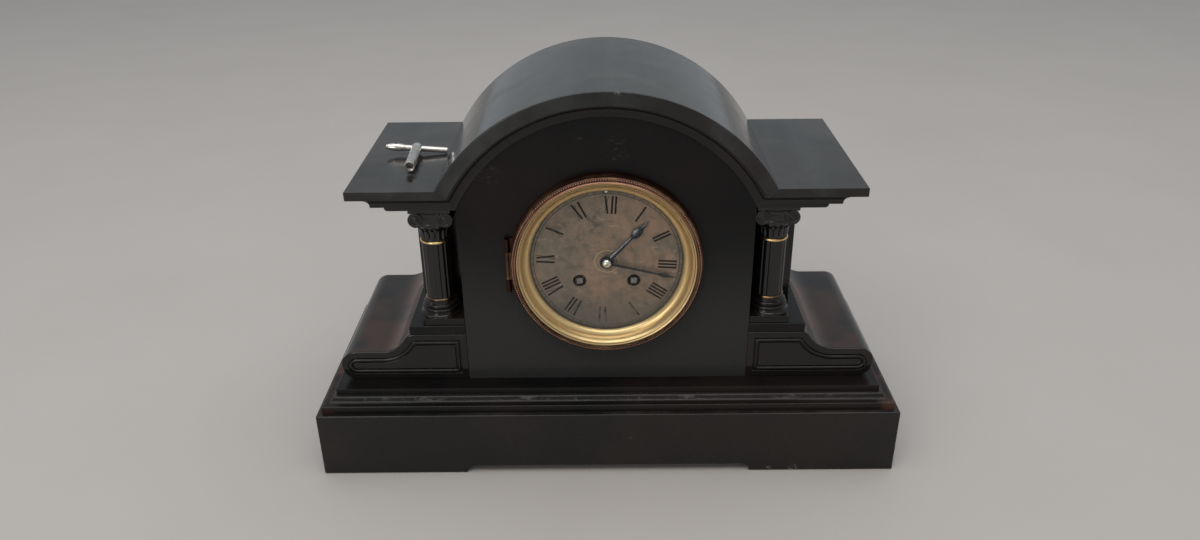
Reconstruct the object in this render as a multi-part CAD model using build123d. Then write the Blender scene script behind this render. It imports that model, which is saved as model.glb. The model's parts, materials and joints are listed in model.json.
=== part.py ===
from build123d import *
from math import acos, atan2, cos, degrees, hypot, pi, radians, sin, sqrt
import os

# Black slate architectural mantel clock with an arched drum top, two free columns on scrolled
# consoles, a hinged glazed bezel and a round two-train movement with a pendulum.
# Millimetres. +X is right, +Y is the back, +Z is up. The origin is on the table, under the
# middle of the plinth.

# Plinth: four slate slabs round a hollow
plinth_width = 440.0
plinth_depth = 176.0
plinth_height = 53.0
plinth_wall = 18.0
relief_width = 218.0
relief_height = 6.5
relief_round = 5.0

# Moulded slab on the plinth
moulding_ledge = 4.1
moulding_riser = 5.9
moulding_nose = 0.8
moulding_tread = 4.3
moulding_ogee_rise = 4.0
moulding_ogee_run = 5.4
moulding_step = 0.4
moulding_fillet = 5.3
well_width = 130.0
well_depth = 84.0
well_setback = 62.0

# Scrolled consoles and the slabs that carry the columns
console_flat = 40.0
console_ledge = 19.4
console_bulb = 12.0
scroll_hollow = 22.0
scroll_round = 8.0
scroll_turn = 60.0
console_back_setback = 18.0
incised_margin = 5.0
incised_line = 1.0
incised_band = 2.4
incised_depth = 1.4
pedestal_length = 42.5
pedestal_thickness = 7.5

# Columns
column_height = 94.5
column_setback = 16.3
column_gap_left = 4.1
column_gap_right = 0.6
column_foot_radius = 15.4
column_foot_rim = 1.0
column_torus_reach = 2.4
column_plinth_side = 30.0
column_plinth_height = 5.5
column_base_height = 12.2
column_ring_height = 2.0
column_ring_radius = 10.9
shaft_radius = 10.3
flute_count = 16
flute_radius = 1.5
capital_height = 28.0
capital_width = 32.0
volute_radius = 5.6
abacus_height = 3.4

# Body: front panel, wings, back, cornice, shoulder slabs and barrel roof
body_setback = 28.2
body_back_setback = 10.0
panel_width = 212.0
panel_thickness = 32.0
wing_width = 35.0
wing_lap = 12.0
back_panel_thickness = 12.0
arch_overreach = 11.0
roof_thickness = 10.0
arch_band = 9.0
arch_band_foot = 1.5
arch_band_rise = 3.0
cornice_height = 10.2
cornice_foot = 2.6
cornice_bead = 2.0
cornice_step = 9.8
cornice_cove = 4.3
slab_overhang = 11.5
slab_reach = 75.8
slab_thickness = 6.5
slab_proud = 7.5

# Dial, bezel and hands
dial_rise = 7.2
dial_radius = 57.5
dial_thickness = 1.0
dial_recess = 1.8
dial_hole = 4.2
winding_hole = 5.0
pan_radius = 70.0
pan_flange = 1.8
pan_tube = 61.5
pan_wall = 1.6
pan_tube_depth = 14.0
pan_seat_bore = 38.0
pan_seat = 1.0
pan_post_circle = 42.0
pan_post_radius = 2.0
bezel_rim = 69.0
bezel_rim_depth = 7.3
bezel_depth = 8.7
bezel_wall = 1.8
bezel_lip = 1.0
sight_radius = 55.8
sight_lip = 0.6
sight_gap = 1.9
slip_band = 3.7
slip_groove = 2.1
slip_wall = 1.0
glass_radius = 65.4
glass_thickness = 1.6
glass_setback = 0.4
glass_ledge = 0.6
hinge_length = 42.0
hinge_tail = 10.0
hinge_knuckle = 1.7
hinge_pin = 0.8
hinge_web = 2.8
minute_hand_length = 52.0
minute_hand_angle = 103.5
hour_hand_length = 44.6
hour_hand_angle = 43.5
hand_thickness = 0.7
hand_pitch = 1.6
nut_radius = 3.1
nut_height = 2.2

# Movement
post_length = 11.0
plate_radius = 46.5
plate_thickness = 2.0
pillar_length = 34.0
pillar_radius = 2.6
pillar_circle = 42.0
winding_spacing = 39.6
winding_drop = 15.5
winding_square = 4.4
arbor_radius = 2.5
pivot_radius = 0.9
centre_radius = 1.0
drum_radius = 16.4
drum_length = 17.0
drum_setback = 8.0
barrel_teeth = 84
barrel_module = 0.43
barrel_pinion = 12
intermediate_teeth = 80
intermediate_module = 0.36
centre_pinion = 10
centre_teeth = 84
centre_module = 0.33
third_pinion = 8
third_teeth = 84
third_module = 0.30
escape_pinion = 8
third_bearing = 125.0
escape_teeth = 40
escape_radius = 8.0
pallet_rise = 10.0
cannon_teeth = 12
minute_teeth = 36
cannon_module = 0.5
minute_pinion = 10
hour_teeth = 40
motion_bearing = 160.0
strike_lean = 5.0
wheel_thickness = 1.2
great_wheel_thickness = 2.0
wheel_gap = 1.2
centre_wheel_setback = 3.5
third_wheel_setback = 13.0
escape_wheel_setback = 4.5
motion_setback = 2.8
motion_wheel_thickness = 1.6
hour_wheel_gap = 1.4
hour_wheel_thickness = 1.4
cannon_wall = 0.75
pipe_wall = 0.85
pinion_length = 3.0
ratchet_radius = 7.5
ratchet_teeth = 24
ratchet_thickness = 1.6

# Pendulum, suspension and striking work
pendulum_length = 165.6
pendulum_setback = 8.0
suspension_drop = 8.0
rod_tail = 6.0
rating_nut_radius = 4.0
rating_nut_height = 3.0
spring_width = 3.0
spring_thickness = 0.2
chop_rise = 12.0
cock_rise = 6.0
cock_width = 20.0
chop_width = 10.0
rod_radius = 1.2
bob_radius = 17.0
bob_thickness = 8.0
crutch_length = 30.0
regulator_radius = 1.2
regulator_rise = 54.5
bell_radius = 30.0
bell_wall = 1.5
bell_depth = 18.0
bell_setback = 17.0
bell_drop = 4.0
bell_post_x = 18.0
bell_post_drop = 38.0
hammer_x = 37.0
hammer_rise = 18.0
hammer_head = 3.4

# Fixing straps, back ring and back door
strap_circle = 50.0
strap_bearing = 25.0
strap_width = 10.0
strap_gauge = 1.2
screw_radius = 1.5
back_bore = 54.7
back_ring_radius = 58.0
back_ring_bore = 43.0
back_flange = 1.5
door_radius = 46.0
door_gauge = 1.2
door_dome = 5.5
door_hinge_length = 18.0

# Winding key lying on the left shoulder
key_reach = 37.2
key_y = 10.0
key_turn = 2.0
key_roll = 5.0
key_barrel = 3.9
key_length = 40.0
key_bar = 46.0
key_bar_radius = 2.2
key_socket_depth = 15.0
key_mouth_depth = 2.5
key_wall = 0.7
key_leaf = 15.0
key_leaf_radius = 3.0
key_tip_radius = 1.6
regulator_socket = 1.7

# Clearances and easings
cement_gap = 0.1
running_clearance = 0.05
fitting_clearance = 0.1
door_gap = 0.3
edge_round = 0.8
tooth_share = 0.40
leaf_share = 0.34

# Levels and places worked out from the sizes above
plinth_front_y = -plinth_depth / 2
plinth_back_y = plinth_depth / 2
moulding_top = plinth_height + moulding_riser + moulding_ogee_rise + moulding_fillet
scroll_rise = (scroll_hollow + scroll_round) * (1 - cos(radians(scroll_turn)))
scroll_run = (scroll_hollow + scroll_round) * sin(radians(scroll_turn))
console_height = 2 * console_bulb + scroll_rise
console_top = moulding_top + console_height
pedestal_top = console_top + pedestal_thickness
cornice_bottom = pedestal_top + column_height
cornice_top = cornice_bottom + cornice_height
slab_top = cornice_top + slab_thickness
panel_half = panel_width / 2
panel_front = plinth_front_y + body_setback
panel_back = panel_front + panel_thickness
body_back = plinth_back_y - body_back_setback
back_panel_front = body_back - back_panel_thickness
console_back = plinth_back_y - console_back_setback
wing_outer = panel_half + wing_width
wing_inner = panel_half - wing_lap
slab_front = panel_front - slab_proud
arch_inner = panel_half + arch_overreach
arch_outer = arch_inner + arch_band
roof_radius = arch_outer + roof_thickness
slab_end = panel_half + slab_reach
key_x = panel_half + key_reach
arch_z = cornice_bottom - sqrt(arch_inner**2 - panel_half**2)
dial_z = arch_z + dial_rise
column_y = panel_front + column_setback
panel_bore = pan_tube + fitting_clearance

dial_front = panel_front + dial_recess
dial_back = dial_front + dial_thickness
seat_back = dial_back + pan_seat
plate_front = seat_back + post_length
gear_front = plate_front + plate_thickness
gear_back = gear_front + pillar_length
plate_back = gear_back + plate_thickness
bezel_back = panel_front - pan_flange - door_gap
hinge_x = -(bezel_rim + hinge_knuckle + 0.4)
hinge_y = bezel_back - hinge_knuckle
pendulum_y = plate_back + pendulum_setback

os.makedirs("parts", exist_ok=True)


def block(x0, x1, y0, y1, z0, z1):
    """Rectangular block between two corners."""
    middle = Pos((x0 + x1) / 2, (y0 + y1) / 2, (z0 + z1) / 2)
    return middle * Box(abs(x1 - x0), abs(y1 - y0), abs(z1 - z0))


def slate_block(x0, x1, y0, y1, z0, z1):
    """Rectangular slate block with eased edges."""
    solid = block(x0, x1, y0, y1, z0, z1)
    return fillet(solid.edges(), edge_round)


def plate(outline, front, back):
    """Outline drawn in x and z, made solid between two depths."""
    return extrude(Plane.XZ.offset(-back) * outline, amount=back - front)


def disc(radius, front, back, x=0.0, z=0.0, bore=0.0):
    """Round plate facing the front, with an optional middle hole."""
    outline = Circle(radius)
    if bore:
        outline -= Circle(bore)
    return plate(Pos(x, z) * outline, front, back)


def turned(edges, x=0.0, z=0.0):
    """Closed profile in radius and y, turned about a line that runs front to back."""
    return Pos(x, 0, z) * revolve(make_face(edges), Axis.Y)


def upright(edges, x=0.0, y=0.0):
    """Closed profile in radius and z, turned about a vertical line."""
    return Pos(x, y, 0) * revolve(Plane.XZ * make_face(edges), Axis.Z)


def mirrored(solid):
    """The same piece on the other side of the clock."""
    return mirror(solid, Plane.YZ)


def toothed(teeth, module, phase, share):
    """Outline of a wheel with straight-sided teeth. One tooth points along phase, in radians."""
    pitch = 2 * pi / teeth
    pitch_radius = module * teeth / 2
    tip = pitch_radius + 0.85 * module
    root = pitch_radius - 1.25 * module
    root_half = pitch * (share + 0.16) / 2
    tip_half = pitch * (share - 0.20) / 2
    points = []
    for i in range(teeth):
        middle = phase + i * pitch
        for radius, offset in ((root, -root_half), (tip, -tip_half), (tip, tip_half), (root, root_half)):
            points.append((radius * cos(middle + offset), radius * sin(middle + offset)))
    return Polygon(*points, align=None)


def wheel(teeth, module, phase, place, front, back, share=tooth_share):
    """Toothed wheel or pinion at a place (x, z) on the movement."""
    return plate(Pos(*place) * toothed(teeth, module, phase, share), front, back)


def crossed(solid, place, hub, rim, front, back):
    """Wheel with five round crossings cut through its web."""
    reach = (rim - hub) / 2 - 0.8
    for i in range(5):
        angle = radians(90 + 72 * i)
        spot = (place[0] + (hub + rim) / 2 * cos(angle), place[1] + (hub + rim) / 2 * sin(angle))
        solid -= disc(min(reach, (hub + rim) / 2 * 0.5), front - 1, back + 1, *spot)
    return solid


def mesh_phase(phase, teeth, bearing, other_teeth):
    """Phase of a second wheel that puts a gap where the first has a tooth."""
    return bearing + pi + (bearing - phase) * teeth / other_teeth + pi / other_teeth


def bearing_of(start, end):
    """Direction from one arbor to another, in radians."""
    return atan2(end[1] - start[1], end[0] - start[0])


def arbor(place, radius, front, back):
    """Round shaft that runs front to back."""
    return disc(radius, front, back, *place)


def meshing_place(first, first_reach, second, second_reach, side):
    """Place of an arbor at set distances from two others, on one side of the line between them."""
    base = hypot(second[0] - first[0], second[1] - first[1])
    turn = acos((first_reach**2 + base**2 - second_reach**2) / (2 * first_reach * base))
    angle = bearing_of(first, second) + side * turn
    return (first[0] + first_reach * cos(angle), first[1] + first_reach * sin(angle))


def wheel_level(front):
    """Front and back depth of a train wheel."""
    return front, front + wheel_thickness


def pinion_level(level):
    """Front and back depth of the pinion that a wheel at this level drives."""
    front = level[0] - (pinion_length - wheel_thickness) / 2
    return front, front + pinion_length


def save(name, solid):
    """Write one piece."""
    export_step(solid, f"parts/{name}.step")


def plinth():
    """Front, back and side slabs of the plinth. The front and back are relieved to leave feet."""
    relief = Pos(0, relief_height / 2) * Rectangle(relief_width, relief_height)
    relief = fillet(relief.vertices().group_by(Axis.Y)[-1], relief_round)
    half = plinth_width / 2

    def relieved(front, back):
        slab = slate_block(-half, half, front, back, 0, plinth_height)
        return slab - plate(relief, front - 1, back + 1)

    save("plinth_front", relieved(plinth_front_y, plinth_front_y + plinth_wall))
    save("plinth_back", relieved(plinth_back_y - plinth_wall, plinth_back_y))
    side = slate_block(
        half - plinth_wall, half,
        plinth_front_y + plinth_wall + cement_gap, plinth_back_y - plinth_wall - cement_gap,
        0, plinth_height,
    )
    save("plinth_side_right", side)
    save("plinth_side_left", mirrored(side))


def moulded_section(outer, far):
    """Section of the moulding: ledge, riser with a round nose, tread, ogee and fillet on one side,
    straight on the other."""
    foot = -outer + moulding_ledge
    tread = foot + moulding_tread
    crest = tread + moulding_ogee_run
    head = crest + moulding_step
    riser_top = plinth_height + moulding_riser
    ogee_top = riser_top + moulding_ogee_rise
    middle = ((tread + crest) / 2, (riser_top + ogee_top) / 2)
    nose = moulding_nose * (1 - sqrt(0.5))
    edges = [
        Line((foot, plinth_height), (foot, riser_top - moulding_nose)),
        ThreePointArc(
            (foot, riser_top - moulding_nose), (foot + nose, riser_top - nose), (foot + moulding_nose, riser_top)
        ),
        Line((foot + moulding_nose, riser_top), (tread, riser_top)),
        Spline((tread, riser_top), middle, (crest, ogee_top), tangents=((1, 0), (1, 0))),
        Line((crest, ogee_top), (head, ogee_top)),
        Line((head, ogee_top), (head, moulding_top)),
        Line((head, moulding_top), (far, moulding_top)),
        Line((far, moulding_top), (far, plinth_height)),
        Line((far, plinth_height), (foot, plinth_height)),
    ]
    return make_face(edges)


def moulding():
    """Moulded slab, mitred at the front corners, with a well for the pendulum."""
    along = extrude(Plane.YZ * moulded_section(plinth_depth / 2, plinth_back_y), plinth_width, both=True)
    left = extrude(Plane.XZ * moulded_section(plinth_width / 2, 0), plinth_depth, both=True)
    slab = along & (left + mirrored(left))
    well_front = plinth_front_y + well_setback
    well = block(
        -well_width / 2, well_width / 2, well_front, well_front + well_depth,
        plinth_height - 1, moulding_top + 1,
    )
    save("plinth_moulding", slab - well)


def console_outline():
    """Console seen from the front: bulb, ledge, reversed scroll and flat top. Inner end at x = 0."""
    turn = radians(scroll_turn)
    bulb_x = console_flat + scroll_run + console_ledge
    ledge_z = 2 * console_bulb
    low = (console_flat + scroll_run, ledge_z)
    middle = (low[0] - scroll_hollow * sin(turn), ledge_z + scroll_hollow * (1 - cos(turn)))
    high = (console_flat, console_height)
    edges = [
        Line((0, 0), (bulb_x, 0)),
        ThreePointArc((bulb_x, 0), (bulb_x + console_bulb, console_bulb), (bulb_x, ledge_z)),
        Line((bulb_x, ledge_z), low),
        TangentArc(low, middle, tangent=(-1, 0)),
        TangentArc(middle, high, tangent=(-cos(turn), sin(turn))),
        Line(high, (0, console_height)),
        Line((0, console_height), (0, 0)),
    ]
    return make_face(edges)


def consoles():
    """Scrolled consoles with two incised lines that follow the outline, and the pedestal slabs."""
    outline = console_outline()
    solid = plate(outline, panel_front, console_back)
    solid = fillet(solid.edges().group_by(Axis.Y)[0], edge_round)
    for margin in (incised_margin, incised_margin + incised_line + incised_band):
        outside = offset(outline, amount=-margin)
        inside = offset(outline, amount=-margin - incised_line)
        solid -= plate(outside - inside, panel_front - 1, panel_front + incised_depth)
    solid = Pos(panel_half, 0, moulding_top) * solid
    save("console_right", solid)
    save("console_left", mirrored(solid))
    slab = slate_block(
        panel_half, panel_half + pedestal_length, panel_front, body_back, console_top, pedestal_top
    )
    save("pedestal_slab_right", slab)
    save("pedestal_slab_left", mirrored(slab))


def column_base(x, side):
    """Square plinth against the panel with a turned base on it: flared foot, two tori and a neck."""
    half = column_plinth_side / 2
    inner = panel_half + cement_gap
    floor = pedestal_top + column_plinth_height
    square = block(
        side * inner, side * (inner + column_plinth_side), column_y - half, column_y + half,
        pedestal_top, floor,
    )
    square = fillet(square.edges().filter_by(Axis.Z), edge_round)
    neck = shaft_radius + 0.5
    reach = column_torus_reach
    waist = neck + 0.4 * reach
    foot_top = floor + column_foot_rim
    unit = (column_base_height - column_foot_rim) / 11
    flare = neck + reach
    edges = [
        Line((0, floor), (column_foot_radius, floor)),
        Line((column_foot_radius, floor), (column_foot_radius, foot_top)),
        ThreePointArc(
            (column_foot_radius, foot_top),
            (flare + 0.3 * (column_foot_radius - flare), foot_top + unit), (flare, foot_top + 3 * unit),
        ),
        ThreePointArc(
            (flare, foot_top + 3 * unit), (neck + 1.35 * reach, foot_top + 4.2 * unit),
            (neck + 0.9 * reach, foot_top + 5.4 * unit),
        ),
        Line((neck + 0.9 * reach, foot_top + 5.4 * unit), (waist, foot_top + 5.9 * unit)),
        ThreePointArc(
            (waist, foot_top + 5.9 * unit), (neck + 0.85 * reach, foot_top + 7.3 * unit),
            (waist, foot_top + 8.7 * unit),
        ),
        Line((waist, foot_top + 8.7 * unit), (neck, foot_top + 9.2 * unit)),
        Line((neck, foot_top + 9.2 * unit), (neck, floor + column_base_height)),
        Line((neck, floor + column_base_height), (0, floor + column_base_height)),
        Line((0, floor + column_base_height), (0, floor)),
    ]
    return square + upright(edges, x, column_y)


def column_ring(x, floor):
    """Gilt ring of half-round section at one end of a shaft."""
    ring = Cylinder(column_ring_radius, column_ring_height)
    ring = fillet(ring.edges(), column_ring_height * 0.45)
    return Pos(x, column_y, floor + column_ring_height / 2) * ring


def column_capital(x, floor):
    """Ionic capital: carved neck, egg moulding, two rolled volutes and a hollow-sided abacus."""
    top = floor + capital_height
    abacus_floor = top - abacus_height
    neck_top = floor + capital_height * 0.34
    edges = [
        Line((0, floor), (shaft_radius - 0.5, floor)),
        ThreePointArc(
            (shaft_radius - 0.5, floor), (shaft_radius - 0.9, (floor + neck_top) / 2),
            (shaft_radius, neck_top),
        ),
        ThreePointArc(
            (shaft_radius, neck_top), (shaft_radius + 3.2, neck_top + 3), (shaft_radius + 3.4, neck_top + 6)
        ),
        Line((shaft_radius + 3.4, neck_top + 6), (0, neck_top + 6)),
        Line((0, neck_top + 6), (0, floor)),
    ]
    solid = upright(edges, x, column_y)
    reach = capital_width / 2 - volute_radius
    depth = column_plinth_side / 2 - 1.5
    volute_z = abacus_floor - volute_radius - 0.4
    for side in (-1, 1):
        roll = disc(volute_radius, column_y - depth, column_y + depth, x + side * reach, volute_z)
        eye = disc(1.5, column_y - depth - 0.8, column_y + depth + 0.8, x + side * reach, volute_z)
        solid += roll + eye
    solid += block(
        x - reach, x + reach, column_y - depth + 0.8, column_y + depth - 0.8,
        neck_top + 5, abacus_floor + 0.1,
    )
    half = column_plinth_side / 2
    abacus = Rectangle(2 * half, 2 * half)
    hollow = 60.0
    for angle in (0, 90, 180, 270):
        abacus -= Rot(0, 0, angle) * Pos(hollow + half - 1.2, 0) * Circle(hollow)
    solid += Pos(x, column_y, abacus_floor) * extrude(abacus, abacus_height)
    return solid


def columns():
    """Two free columns, each with a base, fluted shaft, capital and a gilt ring at each end."""
    base_top = pedestal_top + column_plinth_height + column_base_height
    shaft_floor = base_top + column_ring_height
    capital_floor = cornice_bottom - capital_height
    shaft_top = capital_floor - column_ring_height
    rings = []
    flutes = PolarLocations(shaft_radius + 0.6 * flute_radius, flute_count) * Circle(flute_radius)
    outline = Circle(shaft_radius) - flutes
    near = panel_half + column_foot_radius
    for name, side, x in (
        ("left", -1, -near - column_gap_left), ("right", 1, near + column_gap_right)
    ):
        save(f"column_base_{name}", column_base(x, side))
        shaft = extrude(outline, shaft_top - shaft_floor)
        save(f"column_shaft_{name}", Pos(x, column_y, shaft_floor) * shaft)
        save(f"column_capital_{name}", column_capital(x, capital_floor))
        rings += [column_ring(x, base_top), column_ring(x, shaft_top)]
    save("column_rings", Compound(children=rings))


def arched(half, floor, radius):
    """Outline of a panel: straight sides up to the cornice, then the arch above it."""
    tall = arch_z + radius - cornice_bottom
    lower = Pos(0, (floor + cornice_bottom) / 2) * Rectangle(2 * half, cornice_bottom - floor)
    above = Pos(0, cornice_bottom + tall / 2) * Rectangle(4 * radius, tall)
    return lower + (Pos(0, arch_z) * Circle(radius) & above)


def panels():
    """Front panel with the movement bore, the wings behind the columns and the back panel."""
    inside = arch_outer - cement_gap
    bore = Pos(0, dial_z) * Circle(panel_bore)
    front = plate(arched(panel_half, moulding_top, inside) - bore, panel_front, panel_back)
    save("front_panel", front)
    wing = slate_block(
        panel_half, wing_outer, panel_back + cement_gap, back_panel_front - cement_gap,
        pedestal_top, cornice_bottom,
    )
    wing += block(
        wing_inner, panel_half + edge_round, panel_back + cement_gap, back_panel_front - cement_gap,
        pedestal_top, cornice_bottom,
    )
    wing += block(
        wing_inner, panel_half - cement_gap, panel_back + cement_gap, back_panel_front - cement_gap,
        moulding_top, pedestal_top,
    )
    save("wing_right", wing)
    save("wing_left", mirrored(wing))
    rear_hole = Pos(0, dial_z) * Circle(back_bore)
    rear = arched(panel_half - cement_gap, moulding_top, inside)
    rear += Pos(0, (pedestal_top + cornice_bottom) / 2) * Rectangle(2 * wing_outer, column_height)
    save("back_panel", plate(rear - rear_hole, back_panel_front, body_back))


def arch_point(radius, z):
    """How far out an arch of this radius is at a height."""
    return sqrt(radius**2 - (z - arch_z)**2)


def above_mitre(inner, outer, low, high):
    """Region over the two mitres where the arch meets the level moulding on each side."""
    top = arch_z + roof_radius + 10
    far = roof_radius + 10
    points = [(-inner, low), (inner, low), (outer, high), (far, high), (far, top)]
    points += [(-far, top), (-far, high), (-outer, high)]
    return Polygon(*points, align=None)


def cornice_section():
    """Front section of the cornice in y and z: a foot, a cove and a top fillet."""
    foot = panel_front - arch_band_foot
    head = foot - arch_band_rise
    hollow_floor = cornice_bottom + arch_band_foot
    hollow_top = cornice_top - arch_band_foot
    middle = (foot - 0.3 * arch_band_rise, hollow_floor + 0.7 * (hollow_top - hollow_floor))
    edges = [
        Line((body_back, cornice_bottom), (foot, cornice_bottom)),
        Line((foot, cornice_bottom), (foot, hollow_floor)),
        ThreePointArc((foot, hollow_floor), middle, (head, hollow_top)),
        Line((head, hollow_top), (head, cornice_top)),
        Line((head, cornice_top), (body_back, cornice_top)),
        Line((body_back, cornice_top), (body_back, cornice_bottom)),
    ]
    return make_face(edges)


def cornice_end():
    """End section of the cornice in x and z: a bead, a step and a cove under the slab."""
    cove_x = slab_end - slab_overhang
    step_x = cove_x - cornice_cove
    bead_x = step_x - cornice_step
    foot_x = bead_x - cornice_bead
    step_z = cornice_bottom + cornice_foot
    cove_top = cornice_top - 1.0
    edges = [
        Line((0, cornice_bottom), (foot_x, cornice_bottom)),
        ThreePointArc(
            (foot_x, cornice_bottom), (bead_x - 0.4, cornice_bottom + 0.5 * cornice_foot), (bead_x, step_z)
        ),
        Line((bead_x, step_z), (step_x, step_z)),
        ThreePointArc(
            (step_x, step_z), (step_x + 0.3 * cornice_cove, step_z + 0.7 * (cove_top - step_z)),
            (cove_x, cove_top),
        ),
        Line((cove_x, cove_top), (cove_x, cornice_top)),
        Line((cove_x, cornice_top), (0, cornice_top)),
        Line((0, cornice_top), (0, cornice_bottom)),
    ]
    return make_face(edges)


def cornice_and_roof():
    """Cornices, shoulder slabs, the moulding round the arch and the barrel roof."""
    outer = arch_outer - cement_gap
    mitre_head = arch_point(outer, cornice_top)
    foot = panel_front - arch_band_foot
    head = foot - arch_band_rise
    hollow_start = arch_inner + arch_band_foot
    hollow_end = outer - arch_band_foot
    middle = (hollow_start + 0.7 * (hollow_end - hollow_start), foot - 0.3 * arch_band_rise)
    band = turned([
        Line((arch_inner, panel_front), (arch_inner, foot)),
        Line((arch_inner, foot), (hollow_start, foot)),
        ThreePointArc((hollow_start, foot), middle, (hollow_end, head)),
        Line((hollow_end, head), (outer, head)),
        Line((outer, head), (outer, panel_front)),
        Line((outer, panel_front), (arch_inner, panel_front)),
    ], z=arch_z)
    over_band = above_mitre(panel_half, mitre_head, cornice_bottom, cornice_top)
    save("arch_moulding", band & plate(over_band, head - 1, panel_front))

    along = extrude(Plane.YZ * cornice_section(), 2 * slab_end, both=True)
    across = plate(cornice_end(), head - 1, body_back)
    cornice = along & across
    cornice -= disc(arch_outer, panel_front, body_back + 1, z=arch_z)
    inner_cut = Polygon(
        (-1, cornice_bottom - 1), (panel_half + cement_gap, cornice_bottom - 1),
        (panel_half + cement_gap, cornice_bottom), (mitre_head + cement_gap, cornice_top),
        (mitre_head + cement_gap, cornice_top + 1), (-1, cornice_top + 1), align=None,
    )
    cornice -= plate(inner_cut, head - 2, panel_front)
    save("cornice_right", cornice)
    save("cornice_left", mirrored(cornice))

    roof_foot = arch_point(arch_outer, cornice_top)
    roof_head = arch_point(roof_radius, slab_top)
    ring = Pos(0, arch_z) * (Circle(roof_radius) - Circle(arch_outer))
    roof = plate(ring & above_mitre(roof_foot, roof_head, cornice_top, slab_top), slab_front, plinth_back_y)
    roof_rim = roof.edges().filter_by(GeomType.CIRCLE).filter_by(lambda e: e.radius > roof_radius - 0.1)
    save("arch_roof", fillet(roof_rim, edge_round))

    slab_outline = Polygon(
        (roof_foot + cement_gap, cornice_top), (slab_end, cornice_top),
        (slab_end, slab_top), (roof_head + cement_gap, slab_top), align=None,
    )
    slab = plate(slab_outline, slab_front, plinth_back_y)
    slab = fillet(slab.edges().group_by(Axis.X)[-1], edge_round)
    save("shoulder_slab_right", slab)
    save("shoulder_slab_left", mirrored(slab))


def hinge_piece(x, y, low, high):
    """Length of hinge barrel bored for its pin."""
    tube = Circle(hinge_knuckle) - Circle(hinge_pin + running_clearance)
    return Pos(x, y, low) * extrude(tube, high - low)


def knuckle_bore(x, y, low, high):
    """Clear bore for the pin through a knuckle's web."""
    return Pos(x, y, low - 1) * extrude(Circle(hinge_pin + running_clearance), high - low + 2)


def bowed(start, end, rise):
    """Arc between two points of a profile whose middle stands off the straight line to the left."""
    run, lift = end[0] - start[0], end[1] - start[1]
    length = (run**2 + lift**2) ** 0.5
    middle = ((start[0] + end[0]) / 2 - rise * lift / length, (start[1] + end[1]) / 2 + rise * run / length)
    return ThreePointArc(start, middle, end)


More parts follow.
